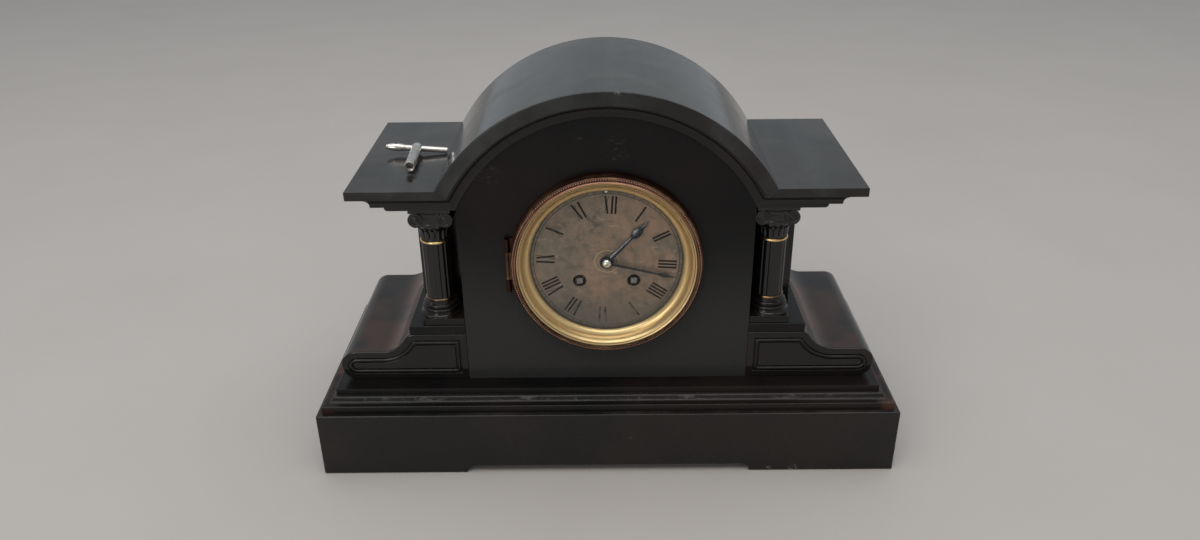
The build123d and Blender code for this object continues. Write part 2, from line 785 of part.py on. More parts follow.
def bezel():
    """Fixed pan with the dial seat, hinged bezel with its glass in front of a sloping slip, and the dial."""
    tube_bore = pan_tube - pan_wall
    tube_back = panel_front + pan_tube_depth
    flange_front = panel_front - pan_flange
    pan = disc(pan_radius, flange_front, panel_front, z=dial_z, bore=tube_bore)
    pan += disc(pan_tube, panel_front, tube_back, z=dial_z, bore=tube_bore)
    pan += disc(pan_tube, dial_back, seat_back, z=dial_z, bore=pan_seat_bore)
    for i in range(4):
        angle = radians(45 + 90 * i)
        spot = (pan_post_circle * cos(angle), dial_z + pan_post_circle * sin(angle))
        pan += disc(pan_post_radius, seat_back, plate_front, *spot)
    pan -= disc(regulator_radius + fitting_clearance, dial_back - 1, seat_back + 1, z=dial_z + regulator_rise)

    low, high = dial_z - hinge_length / 2, dial_z + hinge_length / 2
    bottom_end, top_end = low + hinge_tail, high - hinge_tail
    for start, end in ((low, bottom_end), (top_end, high)):
        web = block(hinge_x - hinge_knuckle, -pan_radius + 8, flange_front, panel_front, start, end)
        web += block(hinge_x - hinge_knuckle, hinge_x + 0.6, hinge_y, panel_front, start, end)
        web -= disc(tube_bore, flange_front - 1, panel_front + 1, z=dial_z)
        pan += hinge_piece(hinge_x, hinge_y, start, end) + (web - knuckle_bore(hinge_x, hinge_y, start, end))
    save("bezel_pan", pan)

    lip_front = bezel_back - bezel_depth
    rim_front = bezel_back - bezel_rim_depth
    glass_front = lip_front + glass_setback
    ledge = glass_front + glass_thickness
    seat = glass_radius + fitting_clearance
    outer = seat - glass_ledge
    sight_y = dial_front - sight_gap
    fall = (ledge - sight_y) / (outer - sight_radius)
    wall = bezel_rim - bezel_wall
    edge = bezel_rim - 0.8
    lip = seat + bezel_lip
    band = (outer - slip_band, ledge - fall * slip_band)
    groove = (band[0] - slip_groove, band[1] - fall * slip_groove)
    sight = (sight_radius, sight_y)
    heel = (sight_radius + slip_wall, sight_y + sight_lip)
    hollow = (outer - 1.0, heel[1] + fall * (outer - 1.0 - heel[0]))
    ring = turned([
        Line((wall, bezel_back), (bezel_rim, bezel_back)),
        ThreePointArc(
            (bezel_rim, bezel_back), (bezel_rim + 0.3, (bezel_back + rim_front) / 2), (bezel_rim, rim_front + 0.8)
        ),
        Line((bezel_rim, rim_front + 0.8), (edge, rim_front)),
        Line((edge, rim_front), (lip, rim_front)),
        ThreePointArc((lip, rim_front), (seat + 0.7 * bezel_lip, lip_front + 0.5), (seat, lip_front)),
        Line((seat, lip_front), (seat, ledge)),
        Line((seat, ledge), (outer, ledge)),
        bowed((outer, ledge), band, 0.7),
        bowed(band, groove, -0.3),
        bowed(groove, sight, 0.6),
        Line(sight, heel),
        Line(heel, hollow),
        Line(hollow, (wall, hollow[1])),
        Line((wall, hollow[1]), (wall, bezel_back)),
    ], z=dial_z)
    start, end = bottom_end + door_gap, top_end - door_gap
    web = block(hinge_x, 0.2 - wall, bezel_back - hinge_web, bezel_back - 0.2, start, end)
    web -= knuckle_bore(hinge_x, hinge_y, start, end)
    ring += hinge_piece(hinge_x, hinge_y, start, end) + web
    save("bezel_ring", ring)

    glass = disc(glass_radius, glass_front, ledge, z=dial_z)
    save("bezel_glass", glass)

    dial = disc(dial_radius, dial_front, dial_back, z=dial_z, bore=dial_hole)
    for side in (-1, 1):
        spot = (side * winding_spacing / 2, dial_z - winding_drop)
        dial -= disc(winding_hole, dial_front - 1, dial_back + 1, *spot)
    dial -= disc(regulator_radius + 0.6, dial_front - 1, dial_back + 1, z=dial_z + regulator_rise)
    save("dial_plate", dial)
    print("axis bezel_hinge", hinge_x, hinge_y, dial_z)
    return Pos(hinge_x, hinge_y, low) * extrude(Circle(hinge_pin), high - low)


def hand_outline(length, boss, stem, leaf_start, leaf_width, leaf_middle, leaf_end):
    """Hand pointing up: a tapered stem, a pear-shaped leaf and a fine point, with a round boss."""
    waist = 0.6 * stem
    tip = 0.3
    right = [(waist, leaf_start), (leaf_width, leaf_middle), (1.2 * waist, leaf_end)]
    left = [(-x, y) for x, y in reversed(right)]
    edges = [
        Line((-stem, 0), (stem, 0)),
        Line((stem, 0), right[0]),
        Spline(*right),
        Line(right[-1], (tip, length)),
        Line((tip, length), (-tip, length)),
        Line((-tip, length), left[0]),
        Spline(*left),
        Line(left[-1], (-stem, 0)),
    ]
    return make_face(edges) + Circle(boss)


def motion_levels():
    """Depths of the hands: back and front of the hour hand, then of the minute hand."""
    hour_back = dial_front - hand_pitch
    minute_back = hour_back - hand_pitch
    return hour_back, hour_back - hand_thickness, minute_back, minute_back - hand_thickness


def hands():
    """Hour hand, minute hand and the domed nut that holds them."""
    hour_back, hour_front, minute_back, minute_front = motion_levels()
    cannon_outer = centre_radius + cannon_wall
    pipe_outer = cannon_outer + pipe_wall
    hour = hand_outline(hour_hand_length, 5.0, 1.7, 24.5, 3.9, 31.5, 38.0) - Circle(pipe_outer)
    minute = hand_outline(minute_hand_length, 3.9, 1.3, 37.5, 1.9, 42.5, 46.5) - Circle(cannon_outer)
    save("hour_hand", plate(Pos(0, dial_z) * (Rot(0, 0, -hour_hand_angle) * hour), hour_front, hour_back))
    save(
        "minute_hand",
        plate(Pos(0, dial_z) * (Rot(0, 0, -minute_hand_angle) * minute), minute_front, minute_back),
    )
    top = minute_front - nut_height
    bore = centre_radius
    nut = turned([
        Line((bore, minute_front), (nut_radius, minute_front)),
        Line((nut_radius, minute_front), (nut_radius, minute_front - 0.8)),
        ThreePointArc(
            (nut_radius, minute_front - 0.8), (0.75 * nut_radius, minute_front - 0.72 * nut_height),
            (bore, top),
        ),
        Line((bore, top), (bore, minute_front)),
    ], z=dial_z)
    save("hand_nut", nut)
    return cannon_outer, pipe_outer, minute_front, top


def movement():
    """Round plates, pillars, barrels, going train, motion work and the first strike wheel."""
    hour_back, hour_front, minute_back, minute_front = motion_levels()
    cannon_outer, pipe_outer, nut_floor, nut_top = hands()
    centre = (0.0, dial_z)
    going = (winding_spacing / 2, dial_z - winding_drop)
    strike = (-winding_spacing / 2, dial_z - winding_drop)

    barrel_reach = barrel_module * (barrel_teeth + barrel_pinion) / 2
    intermediate_reach = intermediate_module * (intermediate_teeth + centre_pinion) / 2
    third_reach = centre_module * (centre_teeth + third_pinion) / 2
    escape_reach = third_module * (third_teeth + escape_pinion) / 2
    motion_reach = cannon_module * (cannon_teeth + minute_teeth) / 2
    hour_module = 2 * motion_reach / (minute_pinion + hour_teeth)

    intermediate = meshing_place(centre, intermediate_reach, going, barrel_reach, 1)
    third_angle = radians(third_bearing)
    third = (third_reach * cos(third_angle), dial_z + third_reach * sin(third_angle))
    escape = (0.0, third[1] + sqrt(escape_reach**2 - third[0] ** 2))
    pallet = (0.0, escape[1] + pallet_rise)
    motion_angle = radians(motion_bearing)
    minute = (motion_reach * cos(motion_angle), dial_z + motion_reach * sin(motion_angle))
    second = (strike[0] - strike_lean, strike[1] + sqrt(barrel_reach**2 - strike_lean**2))
    hammer = (-hammer_x, dial_z + hammer_rise)

    # Depths of the wheels between the plates
    drum_front = gear_front + drum_setback
    drum_back = drum_front + drum_length
    great_back = drum_back + great_wheel_thickness
    lantern = (drum_back - 0.5, drum_back - 0.5 + pinion_length)
    second_level = wheel_level(great_back + wheel_gap)
    centre_level = wheel_level(gear_front + centre_wheel_setback)
    third_level = wheel_level(gear_front + third_wheel_setback)
    escape_level = wheel_level(gear_back - escape_wheel_setback)
    motion_back = plate_front - motion_setback
    motion_level = (motion_back - motion_wheel_thickness, motion_back)
    hour_level_back = motion_level[0] - hour_wheel_gap
    hour_level = (hour_level_back - hour_wheel_thickness, hour_level_back)

    # Phases that put every pair of wheels in mesh
    centre_phase = pi / 2
    to_intermediate = bearing_of(centre, intermediate)
    intermediate_phase = mesh_phase(centre_phase, centre_pinion, to_intermediate, intermediate_teeth)
    barrel_phase = mesh_phase(0.0, barrel_pinion, bearing_of(intermediate, going), barrel_teeth)
    third_phase = mesh_phase(centre_phase, centre_teeth, bearing_of(centre, third), third_pinion)
    escape_phase = mesh_phase(third_phase, third_teeth, bearing_of(third, escape), escape_pinion)
    minute_phase = mesh_phase(centre_phase, cannon_teeth, bearing_of(centre, minute), minute_teeth)
    hour_phase = mesh_phase(minute_phase, minute_pinion, bearing_of(minute, centre), hour_teeth)
    second_phase = mesh_phase(0.0, barrel_teeth, bearing_of(strike, second), barrel_pinion)

    def train_wheel(name, place, phase, teeth, module, level, leaves, leaf_module, leaf_phase, leaf_level):
        """Wheel and pinion cut on one arbor that runs in both plates."""
        rim = module * teeth / 2 - 2.4 * module - 0.6
        solid = wheel(teeth, module, phase, place, *level)
        solid = crossed(solid, place, 2.6, rim, *level)
        solid += wheel(leaves, leaf_module, leaf_phase, place, *leaf_level, share=leaf_share)
        solid += arbor(place, pivot_radius, plate_front, plate_back)
        save(name, solid)
        print("axis", name, place[0], 0.0, place[1])

    centre_pinion_level = pinion_level(second_level)
    train_wheel(
        "intermediate_wheel", intermediate, intermediate_phase, intermediate_teeth, intermediate_module,
        second_level, barrel_pinion, barrel_module, 0.0, lantern,
    )
    train_wheel(
        "strike_second_wheel", second, 0.0, intermediate_teeth, intermediate_module,
        second_level, barrel_pinion, barrel_module, second_phase, lantern,
    )
    third_pinion_level = pinion_level(centre_level)
    train_wheel(
        "third_wheel", third, third_phase, third_teeth, third_module, third_level,
        third_pinion, centre_module, third_phase, third_pinion_level,
    )

    escape_pinion_level = pinion_level(third_level)
    escape_solid = plate(Pos(*escape) * escape_outline(), *escape_level)
    escape_solid += wheel(
        escape_pinion, third_module, escape_phase, escape, *escape_pinion_level, share=leaf_share
    )
    escape_solid += arbor(escape, pivot_radius - 0.1, plate_front, plate_back)
    save("escape_wheel", escape_solid)
    print("axis escape_wheel", escape[0], 0.0, escape[1])

    centre_solid = wheel(centre_teeth, centre_module, centre_phase, centre, *centre_level)
    centre_solid = crossed(centre_solid, centre, 3.0, centre_module * centre_teeth / 2 - 1.6, *centre_level)
    centre_solid += wheel(
        centre_pinion, intermediate_module, centre_phase, centre, *centre_pinion_level, share=leaf_share
    )
    centre_solid += arbor(centre, centre_radius, nut_top, plate_back)
    save("centre_wheel", centre_solid)
    print("axis centre_wheel", 0.0, 0.0, dial_z)

    cannon = wheel(cannon_teeth, cannon_module, centre_phase, centre, *motion_level, share=leaf_share)
    cannon += disc(cannon_outer, minute_front, plate_front - 0.4, *centre)
    cannon -= disc(centre_radius, minute_front - 1, plate_front + 1, *centre)
    save("cannon_pinion", cannon)

    stud_front = hour_level[0] - 1.2
    minute_solid = wheel(minute_teeth, cannon_module, minute_phase, minute, *motion_level)
    minute_solid += wheel(
        minute_pinion, hour_module, minute_phase, minute, hour_level[0] - 0.4, motion_level[0],
        share=leaf_share,
    )
    minute_solid -= disc(pivot_radius + running_clearance, stud_front - 1, plate_front, *minute)
    save("minute_wheel", minute_solid)
    print("axis minute_wheel", minute[0], 0.0, minute[1])

    hour_solid = wheel(hour_teeth, hour_module, hour_phase, centre, *hour_level)
    hour_solid += disc(pipe_outer, hour_front, hour_level[1], *centre)
    hour_solid -= disc(cannon_outer + running_clearance, hour_front - 1, hour_level[1] + 1, *centre)
    save("hour_wheel", hour_solid)

    for name, place, phase in (("going", going, barrel_phase), ("strike", strike, 0.0)):
        drum = disc(drum_radius, drum_front, drum_back, *place)
        drum -= disc(drum_radius - 1.4, drum_front + 1.4, drum_back - 0.5, *place)
        drum += wheel(barrel_teeth, barrel_module, phase, place, drum_back, great_back)
        drum -= disc(arbor_radius + running_clearance, drum_front - 1, great_back + 1, *place)
        save(f"{name}_barrel", drum)
        winder = arbor(place, arbor_radius, plate_front, plate_back)
        core = disc(arbor_radius + 2.4, drum_front + 2.0, drum_back - 1.2, *place)
        square = Pos(*place) * Rectangle(winding_square, winding_square)
        winder += plate(square, dial_front - 0.4, plate_front)
        ratchet = Pos(*place) * ratchet_outline()
        winder += plate(ratchet, plate_front - door_gap - ratchet_thickness, plate_front - door_gap)
        winder += core
        save(f"{name}_winding_arbor", winder)
        print("axis", f"{name}_barrel", place[0], 0.0, place[1])

    # Plates with their pivot holes, the minute wheel stud and the bell post
    pillars = []
    pillar_places = []
    for bearing in (55, 125, 190, 350):
        angle = radians(bearing)
        pillar_places.append((pillar_circle * cos(angle), dial_z + pillar_circle * sin(angle)))
    thin = pivot_radius + running_clearance
    holes = [(going, arbor_radius + running_clearance), (strike, arbor_radius + running_clearance)]
    holes += [(centre, centre_radius + running_clearance), (escape, thin - 0.1)]
    holes += [(place, thin) for place in (intermediate, second, third, pallet, hammer)]

    def drilled(front, back):
        solid = disc(plate_radius, front, back, *centre)
        for place, radius in holes:
            solid -= disc(radius, front - 1, back + 1, *place)
        return solid

    front_plate = drilled(plate_front, gear_front)
    front_plate += arbor(minute, pivot_radius, stud_front, plate_front)
    save("front_plate", front_plate)
    post = (bell_post_x, dial_z - bell_post_drop)
    arm_front = plate_back + bell_setback + bell_depth
    arm_back = arm_front + 2.6
    bell_centre = (0.0, dial_z - bell_drop)
    back_plate = drilled(gear_back, plate_back) + disc(2.5, plate_back, arm_back, *post)
    run = hypot(post[0] - bell_centre[0], post[1] - bell_centre[1])
    lean = degrees(bearing_of(post, bell_centre))
    bar = Pos(*post) * (Rot(0, 0, lean) * (Pos(run / 2, 0) * SlotCenterToCenter(run, 6.0)))
    back_plate += plate(bar, arm_front, arm_back)
    save("back_plate", back_plate)
    for place in pillar_places:
        pillars.append(disc(pillar_radius, gear_front, gear_back, *place))
    save("plate_pillars", Compound(children=pillars))

    bell(bell_centre)
    pendulum(pallet, escape, escape_level)
    hammer_work(hammer, bell_centre)


def escape_outline():
    """Escape wheel with raked pointed teeth and three crossings."""
    points = []
    pitch = 2 * pi / escape_teeth
    for i in range(escape_teeth):
        points.append((escape_radius * cos(i * pitch), escape_radius * sin(i * pitch)))
        root = (i + 0.45) * pitch
        points.append(((escape_radius - 1.1) * cos(root), (escape_radius - 1.1) * sin(root)))
    outline = Polygon(*points, align=None)
    return outline - PolarLocations(0.52 * escape_radius, 3) * Circle(0.2 * escape_radius)


def ratchet_outline():
    """Ratchet with saw teeth that lets the spring be wound one way."""
    points = []
    pitch = 2 * pi / ratchet_teeth
    for i in range(ratchet_teeth):
        points.append((ratchet_radius * cos(i * pitch), ratchet_radius * sin(i * pitch)))
        low = (i + 0.08) * pitch
        points.append(((ratchet_radius - 0.8) * cos(low), (ratchet_radius - 0.8) * sin(low)))
    return Polygon(*points, align=None)


def bell(place):
    """Turned bell with its mouth to the front, carried by an arm behind its crown."""
    mouth = plate_back + bell_setback
    crown = mouth + bell_depth
    inner = bell_radius - bell_wall
    flat = 0.35 * bell_radius
    edges = [
        Line((inner, mouth), (bell_radius, mouth)),
        ThreePointArc(
            (bell_radius, mouth), (0.83 * bell_radius, mouth + 0.6 * bell_depth), (flat, crown)
        ),
        Line((flat, crown), (0, crown)),
        Line((0, crown), (0, crown - bell_wall)),
        Line((0, crown - bell_wall), (flat, crown - bell_wall)),
        ThreePointArc(
            (flat, crown - bell_wall), (0.81 * inner, mouth + 0.56 * bell_depth), (inner, mouth)
        ),
    ]
    save("bell", turned(edges, *place))


def spring_half(low, high):
    """One half of the suspension spring, a thin upright strip."""
    half_width = spring_width / 2
    half_gauge = spring_thickness / 2
    return block(-half_width, half_width, pendulum_y - half_gauge, pendulum_y + half_gauge, low, high)


def pendulum(pallet, escape, level):
    """Pallet anchor with its crutch, suspension cock with the regulator, pendulum rod and bob."""
    anchor_inner = escape_radius + 0.9
    anchor_outer = anchor_inner + 1.7
    sector = Polygon((0, 0), (20, 11), (20, 30), (-20, 30), (-20, 11), align=None)
    anchor = (Circle(anchor_outer) - Circle(anchor_inner)) & sector
    hub = pallet_rise - escape_radius - 0.5
    solid = plate(Pos(*escape) * anchor, *level) + disc(hub, *level, *pallet)
    crutch_front = plate_back + 2.0
    crutch_back = crutch_front + 1.0
    solid += arbor(pallet, pivot_radius, plate_front, crutch_back)
    solid += disc(2.2, crutch_front, crutch_back, *pallet)
    low = pallet[1] - crutch_length
    solid += block(-1.2, 1.2, crutch_front, crutch_back, low, pallet[1])
    tine = rod_radius + running_clearance
    for side in (-1, 1):
        solid += block(side * tine, side * (tine + 0.8), crutch_front, pendulum_y + rod_radius, low - 2, low)
    solid += block(-tine - 0.8, tine + 0.8, crutch_front, crutch_back, low - 2, low + 0.5)
    save("pallet_anchor", solid)
    print("axis pendulum", 0.0, 0.0, pallet[1])

    # The suspension spring bends at the height of the pallet arbor
    chop_top = pallet[1] + chop_rise
    cock_floor = pallet[1] + cock_rise
    cock_half = cock_width / 2
    chop_half = chop_width / 2
    cock_top = dial_z + plate_radius - 1.5
    cock = block(-cock_half, cock_half, plate_back, plate_back + plate_thickness, cock_floor, cock_top)
    cock += block(-chop_half, chop_half, plate_back, pendulum_y + 3.0, cock_floor + 1.0, chop_top)
    cock += spring_half(pallet[1] + door_gap, cock_floor + 1.5)
    arbor_z = dial_z + regulator_rise
    upstand = block(-3.5, 3.5, pendulum_y - 2.5, pendulum_y + 3.0, chop_top - 1, arbor_z + 3.0)
    cock += upstand - disc(
        regulator_radius + running_clearance, pendulum_y - 4, pendulum_y + 4, z=arbor_z
    )
    save("suspension_cock", cock)
    regulator = disc(regulator_radius, dial_front + 0.4, pendulum_y + 3.0, z=arbor_z)
    tip = Pos(0, arbor_z) * Rectangle(1.6, 1.6)
    save("regulator_arbor", regulator + plate(tip, dial_front - 0.6, dial_front + 0.4))
    print("axis regulator_arbor", 0.0, 0.0, arbor_z)

    bob_z = pallet[1] - pendulum_length
    rod_top = pallet[1] - suspension_drop
    rod_foot = bob_z - bob_radius - rod_tail
    rod = spring_half(rod_top - 0.5, pallet[1] - door_gap)
    rod += Pos(0, pendulum_y, (rod_top + rod_foot) / 2) * Cylinder(rod_radius, rod_top - rod_foot)
    nut_z = bob_z - bob_radius - rating_nut_height / 2 - 0.7
    nut = Pos(0, pendulum_y, nut_z) * Cylinder(rating_nut_radius, rating_nut_height)
    save("pendulum_rod", rod + nut)
    half = bob_thickness / 2
    bulge = (0.5 * bob_radius, 0.8 * half)
    face = [
        Line((0, -half), (0, half)),
        ThreePointArc((0, half), bulge, (bob_radius, 0.6)),
        Line((bob_radius, 0.6), (bob_radius, -0.6)),
        ThreePointArc((bob_radius, -0.6), (bulge[0], -bulge[1]), (0, -half)),
    ]
    lens = Pos(0, pendulum_y, 0) * turned(face, 0, bob_z)
    through = Pos(0, pendulum_y, bob_z) * Cylinder(rod_radius + running_clearance, 2 * bob_radius + 4)
    save("pendulum_bob", lens - through)


def hammer_work(place, bell_place):
    """Hammer on its own arbor, standing just off the rim of the bell."""
    level = plate_back + bell_setback + 1.0
    head_z = bell_place[1]
    solid = arbor(place, pivot_radius, plate_front, level + 2.0)
    solid += disc(2.2, level, level + 2.0, *place)
    solid += block(place[0] - 1.0, place[0] + 1.0, level, level + 2.0, head_z, place[1])
    head_end = -bell_radius - 0.7
    head = Pos((place[0] - 2 + head_end) / 2, level + 1.0, head_z) * (
        Rot(0, 90, 0) * Cylinder(hammer_head, head_end - place[0] + 2)
    )
    save("hammer", solid + head)
    print("axis hammer", place[0], 0.0, place[1])


def fixing_and_back_door():
    """Straps that draw the front and back together, the back ring and the domed back door."""
    flange_back = body_back + back_flange
    tube_bore = pan_tube - pan_wall
    strap_outer = sqrt((tube_bore - fitting_clearance) ** 2 - (strap_width / 2) ** 2)
    strap_inner = strap_outer - strap_gauge
    strap_end = back_panel_front - 6.0
    half = strap_width / 2
    strap = block(strap_inner, strap_outer, seat_back + fitting_clearance, strap_end, -half, half)
    lug = block(strap_circle - 4, strap_outer, strap_end - 1.5, strap_end, -half, half)
    hole = disc(screw_radius + running_clearance, strap_end - 3, strap_end + 3, strap_circle, 0)
    screw = disc(screw_radius, strap_end - 4, flange_back, strap_circle, 0)
    screw += disc(2 * screw_radius, flange_back, flange_back + 1.8, strap_circle, 0)
    ring = disc(back_ring_radius, body_back, flange_back, z=dial_z, bore=back_ring_bore)
    sleeve = back_bore - fitting_clearance
    ring += disc(sleeve, back_panel_front, body_back, z=dial_z, bore=sleeve - 1.2)
    solids = []
    for bearing in (strap_bearing, strap_bearing + 180):
        place = Pos(0, 0, dial_z) * Rot(0, -bearing, 0)
        solids += [place * (strap + lug - hole), place * screw]
        screw_hole = disc(screw_radius + running_clearance, body_back - 1, flange_back + 1, strap_circle, 0)
        ring -= place * screw_hole
    save("case_straps", Compound(children=solids))

    axis_x = -(door_radius + 2.0)
    axis_y = flange_back + door_gap + hinge_knuckle
    low, high = dial_z - door_hinge_length / 2, dial_z + door_hinge_length / 2
    tail = 0.27 * door_hinge_length
    for start, end in ((low, low + tail), (high - tail, high)):
        web = block(axis_x - hinge_knuckle, axis_x + 0.6, body_back, axis_y, start, end)
        web -= knuckle_bore(axis_x, axis_y, start, end)
        ring += hinge_piece(axis_x, axis_y, start, end) + web
    save("back_ring", ring)

    door_front = flange_back + door_gap
    door_back = door_front + door_gauge
    flat = door_radius - 4.0
    crown = 0.3 * flat
    dome_front = door_front + door_dome
    dome_back = door_back + door_dome
    door = turned([
        Line((flat, door_front), (door_radius, door_front)),
        Line((door_radius, door_front), (door_radius, door_back)),
        Line((door_radius, door_back), (flat, door_back)),
        ThreePointArc((flat, door_back), (0.7 * flat, door_back + 0.7 * door_dome), (crown, dome_back)),
        Line((crown, dome_back), (0, dome_back)),
        Line((0, dome_back), (0, dome_front)),
        Line((0, dome_front), (crown, dome_front)),
        ThreePointArc((crown, dome_front), (0.7 * flat, door_front + 0.7 * door_dome), (flat, door_front)),
    ], z=dial_z)
    start, end = low + tail + door_gap, high - tail - door_gap
    web = block(axis_x, -door_radius + 1.5, door_front + 0.1, axis_y, start, end)
    web -= knuckle_bore(axis_x, axis_y, start, end)
    door += hinge_piece(axis_x, axis_y, start, end) + web
    save("back_door", door)
    print("axis back_door", axis_x, axis_y, dial_z)
    return Pos(axis_x, axis_y, low) * extrude(Circle(hinge_pin), high - low)


def winding_key():
    """Double key: a square-bored barrel and a cross bar whose tapered end fits the regulator."""
    barrel = Cylinder(key_barrel, key_length, align=(Align.CENTER, Align.CENTER, Align.MIN))
    barrel = fillet(barrel.edges().group_by(Axis.Z)[-1], 0.4 * key_wall)
    up_to_mouth = (Align.CENTER, Align.CENTER, Align.MAX)
    socket = Box(winding_square + 0.3, winding_square + 0.3, key_socket_depth, align=up_to_mouth)
    socket += Cylinder(key_barrel - key_wall, key_mouth_depth, align=up_to_mouth)
    barrel -= Pos(0, 0, key_length) * socket
    barrel += Sphere(key_barrel + 0.4) & Box(30, 2 * key_barrel, 30)
    # The barrel now runs along +Z: it is laid down to run along -Y
    body = Rot(90, 0, 0) * barrel
    straight = key_bar - key_leaf
    bar = Pos(key_leaf / 2, 0, 0) * (Rot(0, 90, 0) * Cylinder(key_bar_radius, straight))
    leaf = upright([
        Line((0, 0), (key_bar_radius, 0)),
        ThreePointArc((key_bar_radius, 0), (key_leaf_radius, key_leaf / 2), (key_tip_radius, key_leaf)),
        Line((key_tip_radius, key_leaf), (0, key_leaf)),
        Line((0, key_leaf), (0, 0)),
    ], 0, 0)
    leaf -= Pos(0, 0, key_leaf) * Box(regulator_socket, regulator_socket, 10)
    leaf -= Pos(0, 0, key_leaf / 2) * (Rot(0, 90, 0) * Cylinder(1.1, 20))
    body += bar + Pos(key_leaf - key_bar / 2, 0, 0) * (Rot(0, -90, 0) * leaf)
    place = Pos(-key_x, key_y, slab_top + key_barrel + 0.4 + door_gap)
    save("winding_key", place * (Rot(0, 0, key_turn) * (Rot(0, key_roll, 0) * body)))


plinth()
moulding()
consoles()
columns()
panels()
cornice_and_roof()
front_pin = bezel()
movement()
back_pin = fixing_and_back_door()
save("hinge_pins", Compound(children=[front_pin, back_pin]))
winding_key()
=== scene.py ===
import json
import math

import bmesh
import bpy
import numpy as np
from mathutils import Matrix


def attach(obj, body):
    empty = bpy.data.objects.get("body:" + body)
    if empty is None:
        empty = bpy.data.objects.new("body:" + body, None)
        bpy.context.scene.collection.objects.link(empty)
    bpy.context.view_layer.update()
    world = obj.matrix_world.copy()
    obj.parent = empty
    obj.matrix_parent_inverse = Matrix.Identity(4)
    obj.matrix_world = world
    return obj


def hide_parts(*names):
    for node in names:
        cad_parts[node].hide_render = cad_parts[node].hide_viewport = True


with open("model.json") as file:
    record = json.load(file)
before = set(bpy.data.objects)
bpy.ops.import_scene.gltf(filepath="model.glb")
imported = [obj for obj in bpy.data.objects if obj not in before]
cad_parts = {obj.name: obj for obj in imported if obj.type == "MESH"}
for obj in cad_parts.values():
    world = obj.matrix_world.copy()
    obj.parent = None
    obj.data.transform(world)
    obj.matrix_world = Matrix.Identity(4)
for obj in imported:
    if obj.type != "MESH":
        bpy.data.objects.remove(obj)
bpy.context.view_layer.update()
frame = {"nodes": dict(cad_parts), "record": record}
solids = frame["nodes"]

# Places and sizes that follow the clock's own solids, in millimetres. The front faces -Y.
MM = 0.001
dial_z = 166.872
dial_front = -58.0
panel_front = -59.8
plinth_face = -88.0
hour_hand = dict(
    length=44.6, boss=5.0, bore=2.6, stem=1.8, leaf=(26.3, 31.5, 37.8), width=3.3, back=-59.6, gauge=0.7,
    angle=43.5)
minute_hand = dict(
    length=52.0, boss=3.9, bore=1.75, stem=1.1, leaf=(38.0, 42.5, 47.0), width=1.55, back=-61.2, gauge=0.7,
    angle=103.5)
rim_front = -69.2
winding_x = 19.8
winding_z = 151.372
column_x = dict(left=-125.5, right=122.0)
column_y = -43.5
capital_floor = 181.2
neck_top = 190.72
volute_z = 199.8
volute_reach = 10.4
volute_face = 13.5


# Surfaces worked out on grids


def quads(rows, columns, close_rows=False, close_columns=False):
    """Faces of a grid of points. A closed direction joins its last line of points to its first."""
    r = np.arange(rows if close_rows else rows - 1)[:, None]
    c = np.arange(columns if close_columns else columns - 1)[None, :]
    r_next = (r + 1) % rows
    c_next = (c + 1) % columns
    corners = (
        r * columns + c, r * columns + c_next, r_next * columns + c_next, r_next * columns + c)
    return np.stack(np.broadcast_arrays(*corners), -1).reshape(-1, 4)


def joined(parts):
    """One array of points and one of faces from several."""
    starts = np.cumsum([0] + [len(points) for points, _ in parts])
    points = np.concatenate([points for points, _ in parts])
    faces = np.concatenate([faces + start for (_, faces), start in zip(parts, starts)])
    return points, faces


def copies(points, faces, offsets):
    """The same small shape at many places: every point plus every offset."""
    count = len(points)
    every = (points[None] + offsets[:, None]).reshape(-1, 3)
    repeated = faces[None] + (np.arange(len(offsets)) * count)[:, None, None]
    return every, repeated.reshape(-1, faces.shape[1])


def turned_ring(profile, steps, x=0.0, z=dial_z):
    """Closed profile of (radius, y) carried round a line that runs front to back:
    x and z are the radius times the cosine and sine of the angle."""
    radius, y = np.array(profile, float).T
    angle = np.linspace(0, 2 * math.pi, steps, endpoint=False)[:, None]
    points = np.stack([x + radius * np.cos(angle), y + 0 * angle, z + radius * np.sin(angle)], -1)
    return points.reshape(-1, 3), quads(steps, len(radius), True, True)


def capped(rings):
    """Rows of rings with each end ring drawn in to its middle point."""
    middles = np.broadcast_to(rings.mean(-2, keepdims=True), rings.shape)
    return np.concatenate([middles[..., :1, :, :], rings, middles[..., -1:, :, :]], -3)


def round_wire(path, radius, across, steps=8, rise=None, closed=False):
    """Wire along a path: each ring is the path's point plus the radius times the cosine along the path's
    side direction plus the rise times the sine along the direction given as across. The rise is the
    radius if none is given. Open ends are drawn in to their middles."""
    along = np.roll(path, -1, 0) - np.roll(path, 1, 0) if closed else np.gradient(path, axis=0)
    along /= np.linalg.norm(along, axis=1, keepdims=True)
    side = np.cross(along, across)
    side /= np.linalg.norm(side, axis=1, keepdims=True)
    angle = np.linspace(0, 2 * math.pi, steps, endpoint=False)[None, :, None]
    wide = np.reshape(radius, (-1, 1, 1))
    tall = wide if rise is None else rise
    sideways = wide * np.cos(angle) * side[:, None]
    points = path[:, None] + sideways + tall * np.sin(angle) * np.array(across, float)
    if not closed:
        points = capped(points)
    return points.reshape(-1, 3), quads(len(points), steps, closed, True)


# Clean-up distances of a mesh, in metres
merge_distance = 2e-6
sliver_distance = 1e-7


